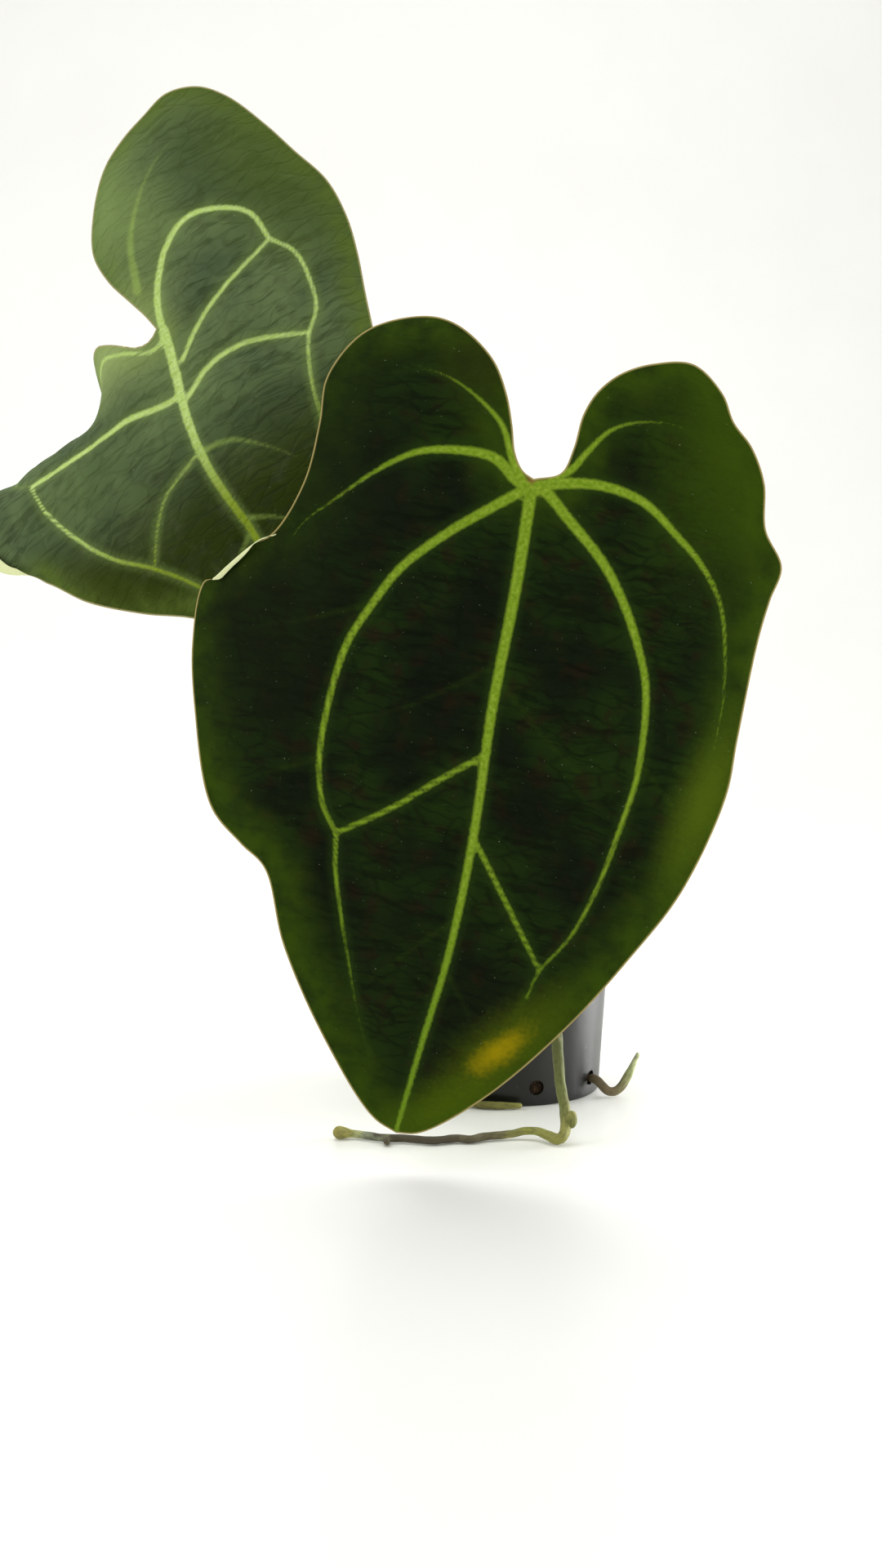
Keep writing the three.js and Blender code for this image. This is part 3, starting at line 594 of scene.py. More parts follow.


# %% [markdown]
# ## Leaf skin
#
# The upper face is covered with tiny bulging cells. They trap light, so the leaf looks like
# velvet: dark and without gloss when seen straight on, with a soft pale bloom where it turns
# away. That is a very rough skin with little specular light and some sheen, and on the back blade
# much of the bloom is painted sheen in its colours. The veins lie under a smoother, paler skin.
#
# The patterns read the stored drawing coordinates, so that they bend with the leaf. From large
# to small there are cloudy patches, the small veins about 3 mm apart, and the grain of the
# velvet, drawn at 0.5 mm because the real cells are too fine to show.


# %% Leaf skin material
def leaf_skin(name, look):
    """The velvety upper face of a blade."""
    material, tree, shader = new_material(name)
    drawing = add(tree, ATTRIBUTE, {}, 1, attribute_name="drawing")
    vein, faint, edge = (add(tree, ATTRIBUTE, {}, 2, attribute_name=n) for n in DISTANCES)
    clouds = add(tree, NOISE, sized(drawing, 34, 3.0))
    patches = add(tree, NOISE, sized(drawing, 9, 3.0))
    fuzz = add(tree, NOISE, sized(drawing, 1.6, 4.0))
    velvet = add(tree, NOISE, sized(drawing, 0.5, 2.0))

    # The small veins leave the midrib on both sides like the barbs of a feather. So their
    # coordinates are mirrored about it, turned and stretched. They are first pushed about by a
    # noise, so that no line is straight.
    push = add(tree, NOISE, sized(drawing, 12, 2.0), 1)
    push = add(tree, VECTOR, {0: push, 1: (0.5, 0.5, 0.5)}, operation="SUBTRACT")
    push = add(tree, VECTOR, {0: push, "Scale": 6 * MM}, operation="SCALE")
    pushed = add(tree, VECTOR, {0: drawing, 1: push}, operation="ADD")
    pushed = add(tree, VECTOR, {0: pushed}, operation="ABSOLUTE")
    turned = {"Vector": pushed, "Rotation": (0, 0, math.radians(look["net_angle"]))}
    barbs = add(tree, MAPPING, {**turned, "Scale": (0.13, 1.0, 1.0)})
    barbs = add(tree, NOISE, sized(barbs, 2.6, 3.0))
    barbs = add(tree, RANGE, {0: barbs, 1: 0.48, 2: 0.64}, **SOFT)
    cells = add(tree, MAPPING, {**turned, "Scale": (0.4, 1.0, 1.0)})
    cells = sized(cells, 5.2)
    cells = add(tree, CELLS, cells, feature="DISTANCE_TO_EDGE", voronoi_dimensions="2D")
    net = add(tree, RANGE, {0: cells, 1: 0.0, 2: 0.13, 3: 1.0, 4: 0.0}, **SOFT)

    # Ground colour: patches of deep and bright green, then brown ones, then the darker lines.
    # Far down the blade it is deeper. On the back blade the paler, greyer ground above is painted
    # sheen, and the deeper colour low down is where no sheen shows.
    skin = laid(tree, look["deep"], look["green"], clouds, 0.35, 0.65)
    height = add(tree, "ShaderNodeSeparateXYZ", {"Vector": drawing}, 1)
    low = {0: height, 1: look["low_to"] * MM, 2: look["low_from"] * MM, 3: 1.0, 4: 0.0}
    low = add(tree, RANGE, low, **SOFT)
    share = add(tree, MATH, {0: low, 1: look["low_share"]}, operation="MULTIPLY")
    skin = add(tree, MIX, {0: share, 6: skin, 7: look["low"]}, **COLOURS)
    skin = laid(tree, skin, look["brown"], patches, 0.5, 0.72, last=look["brown_share"])
    share = add(tree, MATH, {0: barbs, 1: look["barbs"]}, operation="MULTIPLY")
    skin = add(tree, MIX, {0: share, 6: skin, 7: look["net_colour"]}, **COLOURS)
    seen = add(tree, RANGE, {0: clouds, 1: 0.4, 2: 0.6, 3: 0.2, 4: look["net"]}, **SOFT)
    share = add(tree, MATH, {0: net, 1: seen}, operation="MULTIPLY")
    skin = add(tree, MIX, {0: share, 6: skin, 7: look["net_colour"]}, **COLOURS)
    # The blade is thinner towards its margin, and there it is painted a brighter green: painted
    # light, the backlight shining through the thin tissue.
    share = add(tree, RANGE, {0: edge, 1: 2.0, 2: look["edge_width"], 3: 1.0, 4: 0.0}, **SOFT)
    ragged = add(tree, RANGE, {0: patches, 1: 0.25, 2: 0.7, 3: 0.35}, **SOFT)
    share = add(tree, MATH, {0: share, 1: ragged}, operation="MULTIPLY")
    skin = add(tree, MIX, {0: share, 6: skin, 7: look["margin"]}, **COLOURS)
    # A faint glow of lighter green on both sides of each vein.
    speckle = add(tree, RANGE, {0: fuzz, 1: 0.3, 2: 0.7, 3: 0.4, 4: 1.0})
    share = add(tree, RANGE, {0: vein, 1: 0.0, 2: 4.0, 3: look["glow"], 4: 0.0}, **SOFT)
    share = add(tree, MATH, {0: share, 1: speckle}, operation="MULTIPLY")
    skin = add(tree, MIX, {0: share, 6: skin, 7: look["beside"]}, **COLOURS)
    # Zones of another colour, each a ragged oval at its place in the drawing.
    for (x, y), angle, (length, width), ragged, most, colour in look["zones"]:
        oval = {
            "Vector": drawing,
            "Location": (x * MM, y * MM, 0),
            "Rotation": (0, 0, math.radians(angle)),
            "Scale": (length * MM, width * MM, 1),
        }
        reach = add(tree, MAPPING, oval, vector_type="TEXTURE")
        reach = add(tree, VECTOR, {0: reach}, 1, operation="LENGTH")
        tatter = add(tree, MATH, {0: patches, 1: fuzz}, operation="ADD")
        half = ragged / 2
        tatter = add(tree, MATH, {0: tatter, 1: half}, operation="MULTIPLY")
        reach = add(tree, MATH, {0: reach, 1: tatter}, operation="ADD")
        skin = laid(tree, skin, colour, reach, half - 0.1, half + 1.2, most, 0.0)
    # Veins, with an edge that frays a little, and another colour along the middle of the wide
    # ones.
    fray = add(tree, MATH, {0: fuzz, 1: 1.3}, operation="MULTIPLY")
    thin = add(tree, MATH, {0: faint, 1: fray}, operation="ADD")
    skin = laid(tree, skin, look["vein"], thin, 0.3, 2.4, look["faint"], 0.0)
    main = add(tree, MATH, {0: vein, 1: fray}, operation="ADD")
    main = add(tree, RANGE, {0: main, 1: 0.3, 2: 1.6, 3: 1.0, 4: 0.0}, **SOFT)
    rib = laid(tree, look["vein"], look["vein_pale"], fuzz, 0.2, 0.9)
    rib = laid(tree, rib, look["vein_middle"], vein, -2.8, -0.6, 0.5, 0.0)
    share = add(tree, MATH, {0: low, 1: look["low_vein_share"]}, operation="MULTIPLY")
    rib = add(tree, MIX, {0: share, 6: rib, 7: look["low_vein"]}, **COLOURS)
    skin = add(tree, MIX, {0: main, 6: skin, 7: rib}, **COLOURS)
    # The very margin is painted cream: a painted highlight where the edge of the blade catches the
    # light.
    skin = laid(tree, skin, look["rim"], edge, 0.25, 0.85, 0.9, 0.0)
    # Dust and tiny hairs.
    specks = add(tree, NOISE, sized(drawing, 0.9, 1.0))
    skin = laid(tree, skin, "#9aa284", specks, 0.76, 0.82, last=look["dust"])

    # Relief: the small veins are a little sunken, and the velvet has a fine grain.
    sunken = add(tree, MATH, {0: barbs, 1: 0.8, 2: net}, operation="MULTIPLY_ADD")
    sunken = add(tree, MATH, {0: sunken, 1: -look["sunken"]}, operation="MULTIPLY")
    height = add(tree, MATH, {0: velvet, 1: 0.5, 2: sunken}, operation="MULTIPLY_ADD")
    bump = {"Height": height, "Strength": 0.6, "Distance": 0.5 * MM}
    fill(tree, shader, {
        "Base Color": skin,
        "Roughness": add(tree, RANGE, {0: main, 3: look["roughness"], 4: 0.5}),
        "IOR": 1.4,
        "Specular IOR Level": look["specular"],
        "Sheen Weight": look["sheen"],
        "Sheen Roughness": 0.45,
        "Sheen Tint": look["sheen_tint"],
        "Normal": add(tree, BUMP, bump),
    })
    return material


# %% The two skins
# A zone is its place, angle and size, how ragged it is, its largest share, and its colour.
FRONT_LOOK = {
    "deep": "#0f160a", "green": "#1a2b0a", "brown": "#20160b", "brown_share": 0.7,
    "low": "#18240b", "low_from": -120, "low_to": -200, "low_share": 0.4,
    "net": 0.4, "barbs": 0.5, "net_colour": "#090d05", "net_angle": -24, "sunken": 0.4,
    "margin": "#314508", "edge_width": 22.0,
    "glow": 0.5, "beside": "#2b4210", "vein": "#628310", "vein_pale": "#93ab36",
    "vein_middle": "#557513", "low_vein": "#62861a", "low_vein_share": 0.5,
    "faint": 0.05, "rim": "#aa9a62", "dust": 0.5,
    "roughness": 0.85, "specular": 0.06, "sheen": 0.02, "sheen_tint": "#8b9b7a",
    "puff": 0.8, "fold": 0.22, "fold_angle": 24,
    "zones": [
        # The first two zones darken the left side of the blade with painted shade.
        ((-86, -70), 100, (58, 36), 0.5, 0.8, "#12180a"),
        ((-74, -4), 95, (62, 40), 0.5, 0.85, "#141d0b"),
        ((-26, 38), 90, (22, 18), 0.7, 0.7, "#262b0a"),
        ((12, -220), 40, (34, 13), 0.8, 0.6, "#4d6206"),
        ((31, -190), 52, (36, 14), 0.9, 0.6, "#546206"),
        ((29.5, -192), 50, (15, 6), 1.3, 0.9, "#968405"),
        ((80, -92), 80, (40, 12), 0.7, 0.6, "#56690f"),
        ((62, 22), 105, (56, 32), 0.7, 0.75, "#354a06"),
        ((96, -34), 90, (30, 14), 0.7, 0.6, "#44551a"),
        ((0, 0.4), 0, (5, 4), 0.4, 0.75, "#93703a"),
    ],
}
BACK_LOOK = {
    # The back blade's deep and green ground colours are greyed with painted sheen.
    "deep": "#47573b", "green": "#5d6e46", "brown": "#42482f", "brown_share": 0.45,
    "low": "#273103", "low_from": -30, "low_to": -84, "low_share": 0.95,
    "net": 0.08, "barbs": 0.45, "net_colour": "#263017", "net_angle": -38, "sunken": 0.8,
    "margin": "#586b2a", "edge_width": 14.0,
    "glow": 0.5, "beside": "#748a48", "vein": "#a3bf5c", "vein_pale": "#c9e094",
    "vein_middle": "#b8d47f", "low_vein": "#76890a", "low_vein_share": 0.9,
    "faint": 0.35, "rim": "#a9a070", "dust": 0.6,
    "roughness": 0.75, "specular": 0.06, "sheen": 0.03, "sheen_tint": "#b4bea4",
    "puff": 1.6, "fold": 0.45, "fold_angle": 38,
    "zones": [
        # The paler grey-green zones (#74894f, #6a7f4c, #93a566, #55683a), on the upper lobe, about
        # the junction and left of the midrib, are painted sheen.
        ((2, 56), 100, (48, 36), 0.4, 0.9, "#74894f"),
        ((66, 36), 105, (80, 36), 0.4, 0.85, "#455520"),
        ((-6, -30), 90, (26, 24), 0.4, 0.5, "#6a7f4c"),
        ((-24, 8), 0, (40, 26), 0.4, 0.9, "#93a566"),
        ((-60, -30), 0, (46, 20), 0.4, 0.5, "#55683a"),
        ((-70, -72), 130, (50, 16), 0.4, 0.85, "#2c3604"),
    ],
}
front_skin = leaf_skin("velvet_leaf_dark", FRONT_LOOK)
back_skin = leaf_skin("velvet_leaf_green", BACK_LOOK)
print("leaf skins made:", front_skin.name, back_skin.name)


# %% [markdown]
# ## The underside
#
# Under the leaf there is no velvet. The skin is a dull pale green, the ribs are lighter, and the
# fine net stands out between them.


# %% Underside and margin materials
def leaf_underside(name, pale, dark, ribbed):
    """The plain lower face of a blade."""
    material, tree, shader = new_material(name)
    drawing = add(tree, ATTRIBUTE, {}, 1, attribute_name="drawing")
    vein, faint, edge = (add(tree, ATTRIBUTE, {}, 2, attribute_name=n) for n in DISTANCES)
    clouds = add(tree, NOISE, sized(drawing, 22, 3.0))
    fuzz = add(tree, NOISE, sized(drawing, 1.5, 3.0))
    cells = sized(drawing, 5.2)
    cells = add(tree, CELLS, cells, feature="DISTANCE_TO_EDGE", voronoi_dimensions="2D")
    net = add(tree, RANGE, {0: cells, 1: 0.0, 2: 0.1, 3: 1.0, 4: 0.0}, **SOFT)
    skin = laid(tree, pale, dark, clouds, 0.3, 0.7)
    share = add(tree, MATH, {0: net, 1: 0.4}, operation="MULTIPLY")
    skin = add(tree, MIX, {0: share, 6: skin, 7: ribbed}, **COLOURS)
    # It is paler along the margin, where light comes through the thin blade.
    skin = laid(tree, skin, "#dfe4ac", edge, 3.0, 12.0, 0.9, 0.0)
    skin = laid(tree, skin, ribbed, faint, -0.2, 0.8, 0.6, 0.0)
    frayed = add(tree, MATH, {0: vein, 1: fuzz}, operation="ADD")
    skin = laid(tree, skin, ribbed, frayed, 0.3, 1.3, 1.0, 0.0)
    height = add(tree, MATH, {0: fuzz, 1: 0.4, 2: net}, operation="MULTIPLY_ADD")
    bump = {"Height": height, "Strength": 0.4, "Distance": 0.3 * MM}
    fill(tree, shader, {
        "Base Color": skin,
        "Roughness": 0.55,
        "Specular IOR Level": 0.3,
        "Normal": add(tree, BUMP, bump),
    })
    return material


def leaf_margin(name, cream, brown):
    """The thin cut edge of the blade, cream and brown; the cream is a painted highlight where the
    edge catches the light.
    """
    material, tree, shader = new_material(name)
    drawing = add(tree, ATTRIBUTE, {}, 1, attribute_name="drawing")
    clouds = add(tree, NOISE, sized(drawing, 14, 2.0))
    skin = laid(tree, cream, brown, clouds, 0.35, 0.65)
    fill(tree, shader, {"Base Color": skin, "Roughness": 0.6})
    return material


front_under = leaf_underside("leaf_underside_front", "#6d7d42", "#55652f", "#93a563")
back_under = leaf_underside("leaf_underside_back", "#8b9c5c", "#6c7d40", "#b3c27f")
# The cut edge is painted pale as a painted highlight.
margin_highlight_skin = leaf_margin("leaf_margin_painted_highlight", "#b5a889", "#9a8a52")

# %% Make the blades
blade_front = blade("blade_front_leaf", FRONT, [front_skin, front_under, margin_highlight_skin], FRONT_LOOK)
print("corners in the front blade:", len(blade_front.data.vertices))
blade_back = blade("blade_back_leaf", BACK, [back_skin, back_under, margin_highlight_skin], BACK_LOOK)
print("corners in the back blade:", len(blade_back.data.vertices))

# %% [markdown]
# ## Bars that follow a curve
#
# Petioles and roots are long round bars. Each starts as a straight cone from `create_cone`, cut
# across into many rings. The rings are then moved along the curve, and their width follows a
# function of the length. Before it is bent, each corner's straight place is kept as an
# attribute, so that streaks can run along the bar whatever way it bends.


# %% Bar maker
def bar_bmesh(corners, radius_at, ring_step=1.5, sides=28, rough=0.0, rough_size=6.0, seed=0.0):
    """A closed round bar with domed ends along a curve, in millimetres. Returns it in metres."""
    line = smooth_curve(corners)
    length = line_length(line)
    start, end = radius_at(0.0), radius_at(1.0)
    # A dome's rings, as shares of the radius of its end.
    dome = np.array([0.02, 0.14, 0.34, 0.6])
    middle = max(int((length - start - end) / ring_step), 4)
    places = np.concatenate([
        dome * start,
        np.linspace(start, length - end, middle),
        length - dome[::-1] * end,
    ])
    bm = bmesh.new()
    bmesh.ops.create_cone(
        bm, cap_ends=True, cap_tris=True, segments=sides, radius1=1, radius2=1, depth=1
    )
    sideways = [e for e in bm.edges if abs(e.verts[0].co.z - e.verts[1].co.z) > 0.5]
    bmesh.ops.subdivide_edges(bm, edges=sideways, cuts=len(places) - 2, use_grid_fill=True)
    samples = 400
    centres = even_points(line, samples)
    spacing = np.linspace(0, length, samples)
    tangents = np.gradient(centres, axis=0)
    tangents /= np.linalg.norm(tangents, axis=1, keepdims=True)
    # One frame for each ring, turned on from the last with the curve and not about it.
    frames = []
    tangent = Vector(tangents[0])
    normal = tangent.orthogonal().normalized()
    for place in places:
        index = min(int(round(place / length * (samples - 1))), samples - 1)
        turned = Vector(tangents[index])
        normal = (tangent.rotation_difference(turned) @ normal).normalized()
        tangent = turned
        centre = Vector([np.interp(place, spacing, centres[:, i]) for i in range(3)])
        frames.append((centre, normal.copy(), tangent.cross(normal)))
    layer = bm.verts.layers.float_vector.new("straight")
    for vert in bm.verts:
        ring = round((vert.co.z + 0.5) * (len(places) - 1))
        place = places[ring]
        width = radius_at(place / length)
        for gap, cap in ((place, start), (length - place, end)):
            if gap < cap:
                width = cap * math.sqrt(max(1 - (1 - gap / cap) ** 2, 0))
        out = Vector((vert.co.x, vert.co.y))
        if rough:
            spot = Vector((out.x * 1.3, out.y * 1.3, place / rough_size + seed))
            width *= 1 + rough * noise.noise(spot)
        vert[layer] = Vector((out.x * width, out.y * width, place)) * MM
        centre, across, up = frames[ring]
        vert.co = (centre + (across * out.x + up * out.y) * width) * MM
    bmesh.ops.recalc_face_normals(bm, faces=bm.faces)
    return bm, length


def keep_share(obj, length):
    """Stores each corner's share of the bar's length, from its straight place."""
    straight = obj.data.attributes["straight"].data
    shares = [v.vector.z / MM / length for v in straight]
    obj.data.attributes.new("along", "FLOAT", "POINT").data.foreach_set("value", shares)


# %% [markdown]
# ## Petioles
#
# A petiole is smooth, satin green and round, with fine streaks along it and small pale specks,
# the pores through which it breathes. Just below the blade it has a swollen joint, a little
# paler, with which the plant turns its leaf to the light. Its foot widens to clasp the stem.


# %% Petiole material
def petiole_skin(name, deep, bright, joint):
    """Smooth satin green bark with fine streaks."""
    material, tree, shader = new_material(name)
    straight = add(tree, ATTRIBUTE, {}, 1, attribute_name="straight")
    share = add(tree, ATTRIBUTE, {}, 2, attribute_name="along")
    streaks = add(tree, MAPPING, {"Vector": straight, "Scale": (1, 1, 0.06)})
    streaks = add(tree, NOISE, sized(streaks, 0.7, 3.0))
    clouds = add(tree, NOISE, sized(straight, 16, 3.0))
    pores = add(tree, MAPPING, {"Vector": straight, "Scale": (1, 1, 0.5)})
    pores = add(tree, CELLS, sized(pores, 2.4))
    skin = laid(tree, deep, bright, clouds, 0.35, 0.65)
    skin = laid(tree, skin, deep, streaks, 0.4, 0.7, last=0.5)
    skin = laid(tree, skin, joint, share, 0.88, 0.94, last=0.8)
    skin = laid(tree, skin, "#6f5a33", share, 0.0, 0.1, 0.6, 0.0)
    pore = add(tree, RANGE, {0: pores, 1: 0.08, 2: 0.16, 3: 0.7, 4: 0.0}, **SOFT)
    skin = add(tree, MIX, {0: pore, 6: skin, 7: "#b4bd7d"}, **COLOURS)
    height = add(tree, MATH, {0: pore, 1: 0.8, 2: streaks}, operation="MULTIPLY_ADD")
    bump = {"Height": height, "Strength": 0.35, "Distance": 0.3 * MM}
    fill(tree, shader, {
        "Base Color": skin,
        "Roughness": add(tree, RANGE, {0: streaks, 3: 0.35, 4: 0.55}),
        "IOR": 1.42,
        "Normal": add(tree, BUMP, bump),
    })
    return material


petiole_green = petiole_skin("petiole_satin_green", "#4f6a22", "#6f8c35", "#8ba24a")

# %% Make the petioles
PETIOLES = {
    "front": (FRONT, [(0.8, -13.4, 88), (1, -14.6, 104), (1.6, -22, 136), (2.2, -38, 172),
                      (2.8, -64, 206), (3.2, -94, 226)]),
    "back": (BACK, [(-4.6, 12.6, 88), (-6, 15, 106), (-12, 21, 140), (-28, 27, 184),
                    (-56, 27, 228), (-90, 14, 264)]),
}
JOINT_LENGTH = 20
END_DEPTH = 1.2
BLADE_DEPTH = 3.4
for side, (leaf, path) in PETIOLES.items():
    foot = np.array([[0.0, -4.0]])
    meet = placed(leaf, bent(leaf, foot))[0] / MM
    down = -(face_normals(leaf, foot) @ leaf_turn(leaf).T)[0]
    # It ends inside the blade, just under the upper face, and comes to it from straight behind.
    end = meet + down * END_DEPTH
    before = meet + down * (BLADE_DEPTH + JOINT_LENGTH) - [0, 0, 1.5]
    corners = path + [tuple(before), tuple(end)]
    length = line_length(smooth_curve(corners))

    def petiole_radius(share, length=length):
        """Wide at the foot, slim along the middle and swollen at the joint."""
        swelling = math.exp(-(((length * (1 - share) - JOINT_LENGTH / 2) / 9) ** 2))
        flare = math.exp(-((length * share / 22) ** 2))
        return 3.0 + 1.2 * swelling + 1.5 * flare

    bm, length = bar_bmesh(corners, petiole_radius, 1.6, 32, 0.05, 14.0, len(side))
    petiole = finished(f"petiole_{side}_stalk", bm, [petiole_green],
                       [f"petiole_{side}"])
    keep_share(petiole, length)
    print(f"{side} petiole: {length:.0f} mm long")

# %% [markdown]
# ## The pot
#
# A nursery pot is moulded from thin black polypropylene. Its wall leans out a little, so that
# pots stack, and its rim is rolled over to stiffen it. Drain holes are cut round its foot. Such
# a turned shape is best made by spinning its outline about the axis. The holes are opened
# afterwards: the faces inside each circle are deleted on both sides of the wall, their borders
# are moved onto the circle, and the two borders are bridged.

# %% Pot outline
POT_HEIGHT = 92
POT_FOOT = 36
POT_TOP = 42
POT_WALL = 1.6
POT_FLOOR = 1.8
RIM_RADIUS = 45.2
HOLE_RADIUS = 3
HOLE_HEIGHT = 7.5
HOLES = 8
FIRST_HOLE = -75
POT_STEPS = 192


def pot_radius(height):
    """The wall's outer radius at a height."""
    return POT_FOOT + (POT_TOP - POT_FOOT) * height / POT_HEIGHT


def corner(centre, radius, start, end, count=5):
    """Points on a rounded corner of the outline."""
    angles = np.radians(np.linspace(start, end, count))
    return [(centre[0] + radius * math.cos(a), centre[1] + radius * math.sin(a)) for a in angles]


hole_rows = np.linspace(HOLE_HEIGHT - 4, HOLE_HEIGHT + 4, 13)
outside = [(0, 0), (20, 0), (32, 0)]
outside += corner((POT_FOOT - 1.2, 1.2), 1.2, -90, 0)
outside += [(pot_radius(z), z) for z in hole_rows]
outside += [(pot_radius(z), z) for z in (14, 22, 34, 46, 58, 70, 78, 83)]
# The rim's lower edge is at 85 mm. Each corner of the rim is rounded.
outside += corner((pot_radius(84) + 0.9, 84.1), 0.9, 180, 90, 4)
outside += corner((RIM_RADIUS - 0.9, 85.9), 0.9, -90, 0, 4)
outside += corner((RIM_RADIUS - 1.3, POT_HEIGHT - 1.3), 1.3, 0, 90)
outside += corner((pot_radius(92) - POT_WALL + 0.8, POT_HEIGHT - 0.8), 0.8, 90, 180, 4)
inside = [(pot_radius(z) - POT_WALL, z) for z in (88, 80, 70, 58, 46, 34, 22, 14)]
inside += [(pot_radius(z) - POT_WALL, z) for z in hole_rows[::-1]]
inside += [(pot_radius(POT_FLOOR) - POT_WALL, POT_FLOOR), (20, POT_FLOOR), (0, POT_FLOOR)]
print("points in the pot's outline:", len(outside) + len(inside))


# %% Spin the pot and open its drain holes
def spun(outline, steps):
    """A turned shape. The outline gives its radius and height in millimetres."""
    bm = bmesh.new()
    ring = [bm.verts.new((r * MM, 0, z * MM)) for r, z in outline]
    edges = [bm.edges.new(pair) for pair in zip(ring, ring[1:])]
    bmesh.ops.spin(
        bm, geom=ring + edges, cent=(0, 0, 0), axis=(0, 0, 1), angle=math.tau, steps=steps,
        use_merge=True,
    )
    bmesh.ops.remove_doubles(bm, verts=bm.verts, dist=1e-6)
    bmesh.ops.recalc_face_normals(bm, faces=bm.faces)
    return bm


bm = spun(outside + inside, POT_STEPS)
opened = []
for k in range(HOLES):
    angle = math.radians(FIRST_HOLE + 360 / HOLES * k)

    def from_hole(place, angle=angle):
        """Place on the wall about a hole's middle, in metres: round the pot, and up."""
        turn = math.remainder(math.atan2(place.y, place.x) - angle, math.tau)
        radius = math.hypot(place.x, place.y)
        return Vector((turn * radius, place.z - HOLE_HEIGHT * MM))

    inside_hole = [
        f for f in bm.faces
        if from_hole(f.calc_center_median()).length < HOLE_RADIUS * MM
        and math.hypot(*f.calc_center_median()[:2]) > (POT_FOOT - 2.5) * MM
    ]
    bmesh.ops.delete(bm, geom=inside_hole, context="FACES")
    border = [
        e for e in bm.edges
        if e.is_boundary and from_hole(e.verts[0].co).length < (HOLE_RADIUS + 2) * MM
    ]
    for vert in {v for e in border for v in e.verts}:
        place = from_hole(vert.co)
        snapped = place.normalized() * HOLE_RADIUS * MM
        radius = math.hypot(vert.co.x, vert.co.y)
        turn = angle + snapped.x / radius
        vert.co = (radius * math.cos(turn), radius * math.sin(turn), snapped.y + HOLE_HEIGHT * MM)
    bmesh.ops.bridge_loops(bm, edges=border)
    opened.append(len(border))
bmesh.ops.recalc_face_normals(bm, faces=bm.faces)
print("edges on the border of each hole:", opened)


# %% [markdown]
# Polypropylene from a mould has a satin skin: a fairly sharp reflection over a fine grain. It is
# black with carbon, and handling and watering leave it with faint scuffs and a little dried lime.


# %% Pot material
def pot_plastic(name):
    """Black moulded polypropylene."""
    material, tree, shader = new_material(name)
    place = add(tree, COORDINATES, {}, 3)
    grit = add(tree, NOISE, sized(place, 0.8, 2.0))
    smears = add(tree, MAPPING, {"Vector": place, "Scale": (1, 1, 0.25)})
    smears = add(tree, NOISE, sized(smears, 14, 5.0))
    skin = laid(tree, "#0d0d0a", "#2b2a25", smears, 0.45, 0.75, last=0.35)
    spots = add(tree, NOISE, sized(place, 4, 6.0))
    skin = laid(tree, skin, "#6b6552", spots, 0.68, 0.76, last=0.5)
    bump = {"Height": grit, "Strength": 0.12, "Distance": 0.2 * MM}
    fill(tree, shader, {
        "Base Color": skin,
        "Roughness": add(tree, RANGE, {0: smears, 1: 0.3, 2: 0.7, 3: 0.26, 4: 0.4}),
        "IOR": 1.49,
        "Specular IOR Level": 0.4,
        "Normal": add(tree, BUMP, bump),
    })
    return material


black_plastic = pot_plastic("polypropylene_black")
finished("nursery_pot", bm, [black_plastic], ["pot"], 38)

# %% [markdown]
# ## Potting mix
#
# Anthuriums are potted in an open mix of bark, pumice and charcoal, because their roots need
# air. The mix is one turned body whose top is made rough, and loose chunks of three kinds lie
# over it. A chunk is a cube that is cut by a few tilted planes, which gives the flat broken
# faces of bark and charcoal. Pumice is rounder, so it starts from a small icosphere.


# %% Mix and chunk materials
def crumb_stone(name, dark, middle, light, size_mm, roughness, pits):
    """Broken organic or stony lumps, speckled and pitted."""
    material, tree, shader = new_material(name)
    place = add(tree, COORDINATES, {}, 3)
    clouds = add(tree, NOISE, sized(place, size_mm, 5.0))
    grains = add(tree, NOISE, sized(place, size_mm / 6, 4.0))
    skin = laid(tree, dark, middle, clouds, 0.35, 0.62)
    skin = laid(tree, skin, light, grains, 0.52, 0.72, last=0.8)
    holes = add(tree, CELLS, sized(place, size_mm / 5))
    hollow = add(tree, RANGE, {0: holes, 1: 0.1, 2: 0.4, 3: -pits, 4: 0.0}, **SOFT)
    height = add(tree, MATH, {0: grains, 1: hollow}, operation="ADD")
    bump = {"Height": height, "Strength": 0.7, "Distance": 0.5 * MM}
    fill(tree, shader, {
        "Base Color": skin,
        "Roughness": roughness,
        "Specular IOR Level": 0.25,
        "Normal": add(tree, BUMP, bump),
    })
    return material


compost = crumb_stone("bark_compost", "#20160f", "#40301f", "#6b5237", 5, 0.95, 0.8)
bark = crumb_stone("pine_bark", "#4a3020", "#76502f", "#a27b50", 7, 0.85, 0.3)
pumice_stone = crumb_stone("pumice", "#b3ac9a", "#cfc9b9", "#e6e2d6", 3, 0.9, 1.4)
charcoal_black = crumb_stone("charcoal", "#151414", "#262524", "#454341", 4, 0.7, 0.5)

# %% Body of the mix
MIX_TOP = 78
MIX_FOOT = 2.1
MIX_GAP = 0.3
ROUGH_WITHIN = 38.4


def mix_radius(height):
    """The mix fills the pot, but for a small gap that keeps the two apart."""
    return pot_radius(height) - POT_WALL - MIX_GAP


mix_line = [(0, MIX_FOOT), (20, MIX_FOOT), (mix_radius(MIX_FOOT), MIX_FOOT)]
mix_line += [(mix_radius(z), z) for z in (8, 20, 34, 48, 62, 70, 74, 77)]
mix_line += [(r, MIX_TOP) for r in np.linspace(mix_radius(MIX_TOP) - 0.8, 0, 34)]
bm = spun(mix_line, 128)
for vert in bm.verts:
    if vert.co.z > (MIX_TOP - 0.5) * MM and math.hypot(*vert.co[:2]) < ROUGH_WITHIN * MM:
        lumps = noise.noise(vert.co * per_metre(7)) + 0.6 * noise.noise(vert.co * per_metre(2.6))
        vert.co.z += (1.1 * lumps - 0.6) * MM
finished("potting_mix_body", bm, [compost], ["potting_mix"], 60)


# %% Chunks that lie on the mix
CUTS = 5


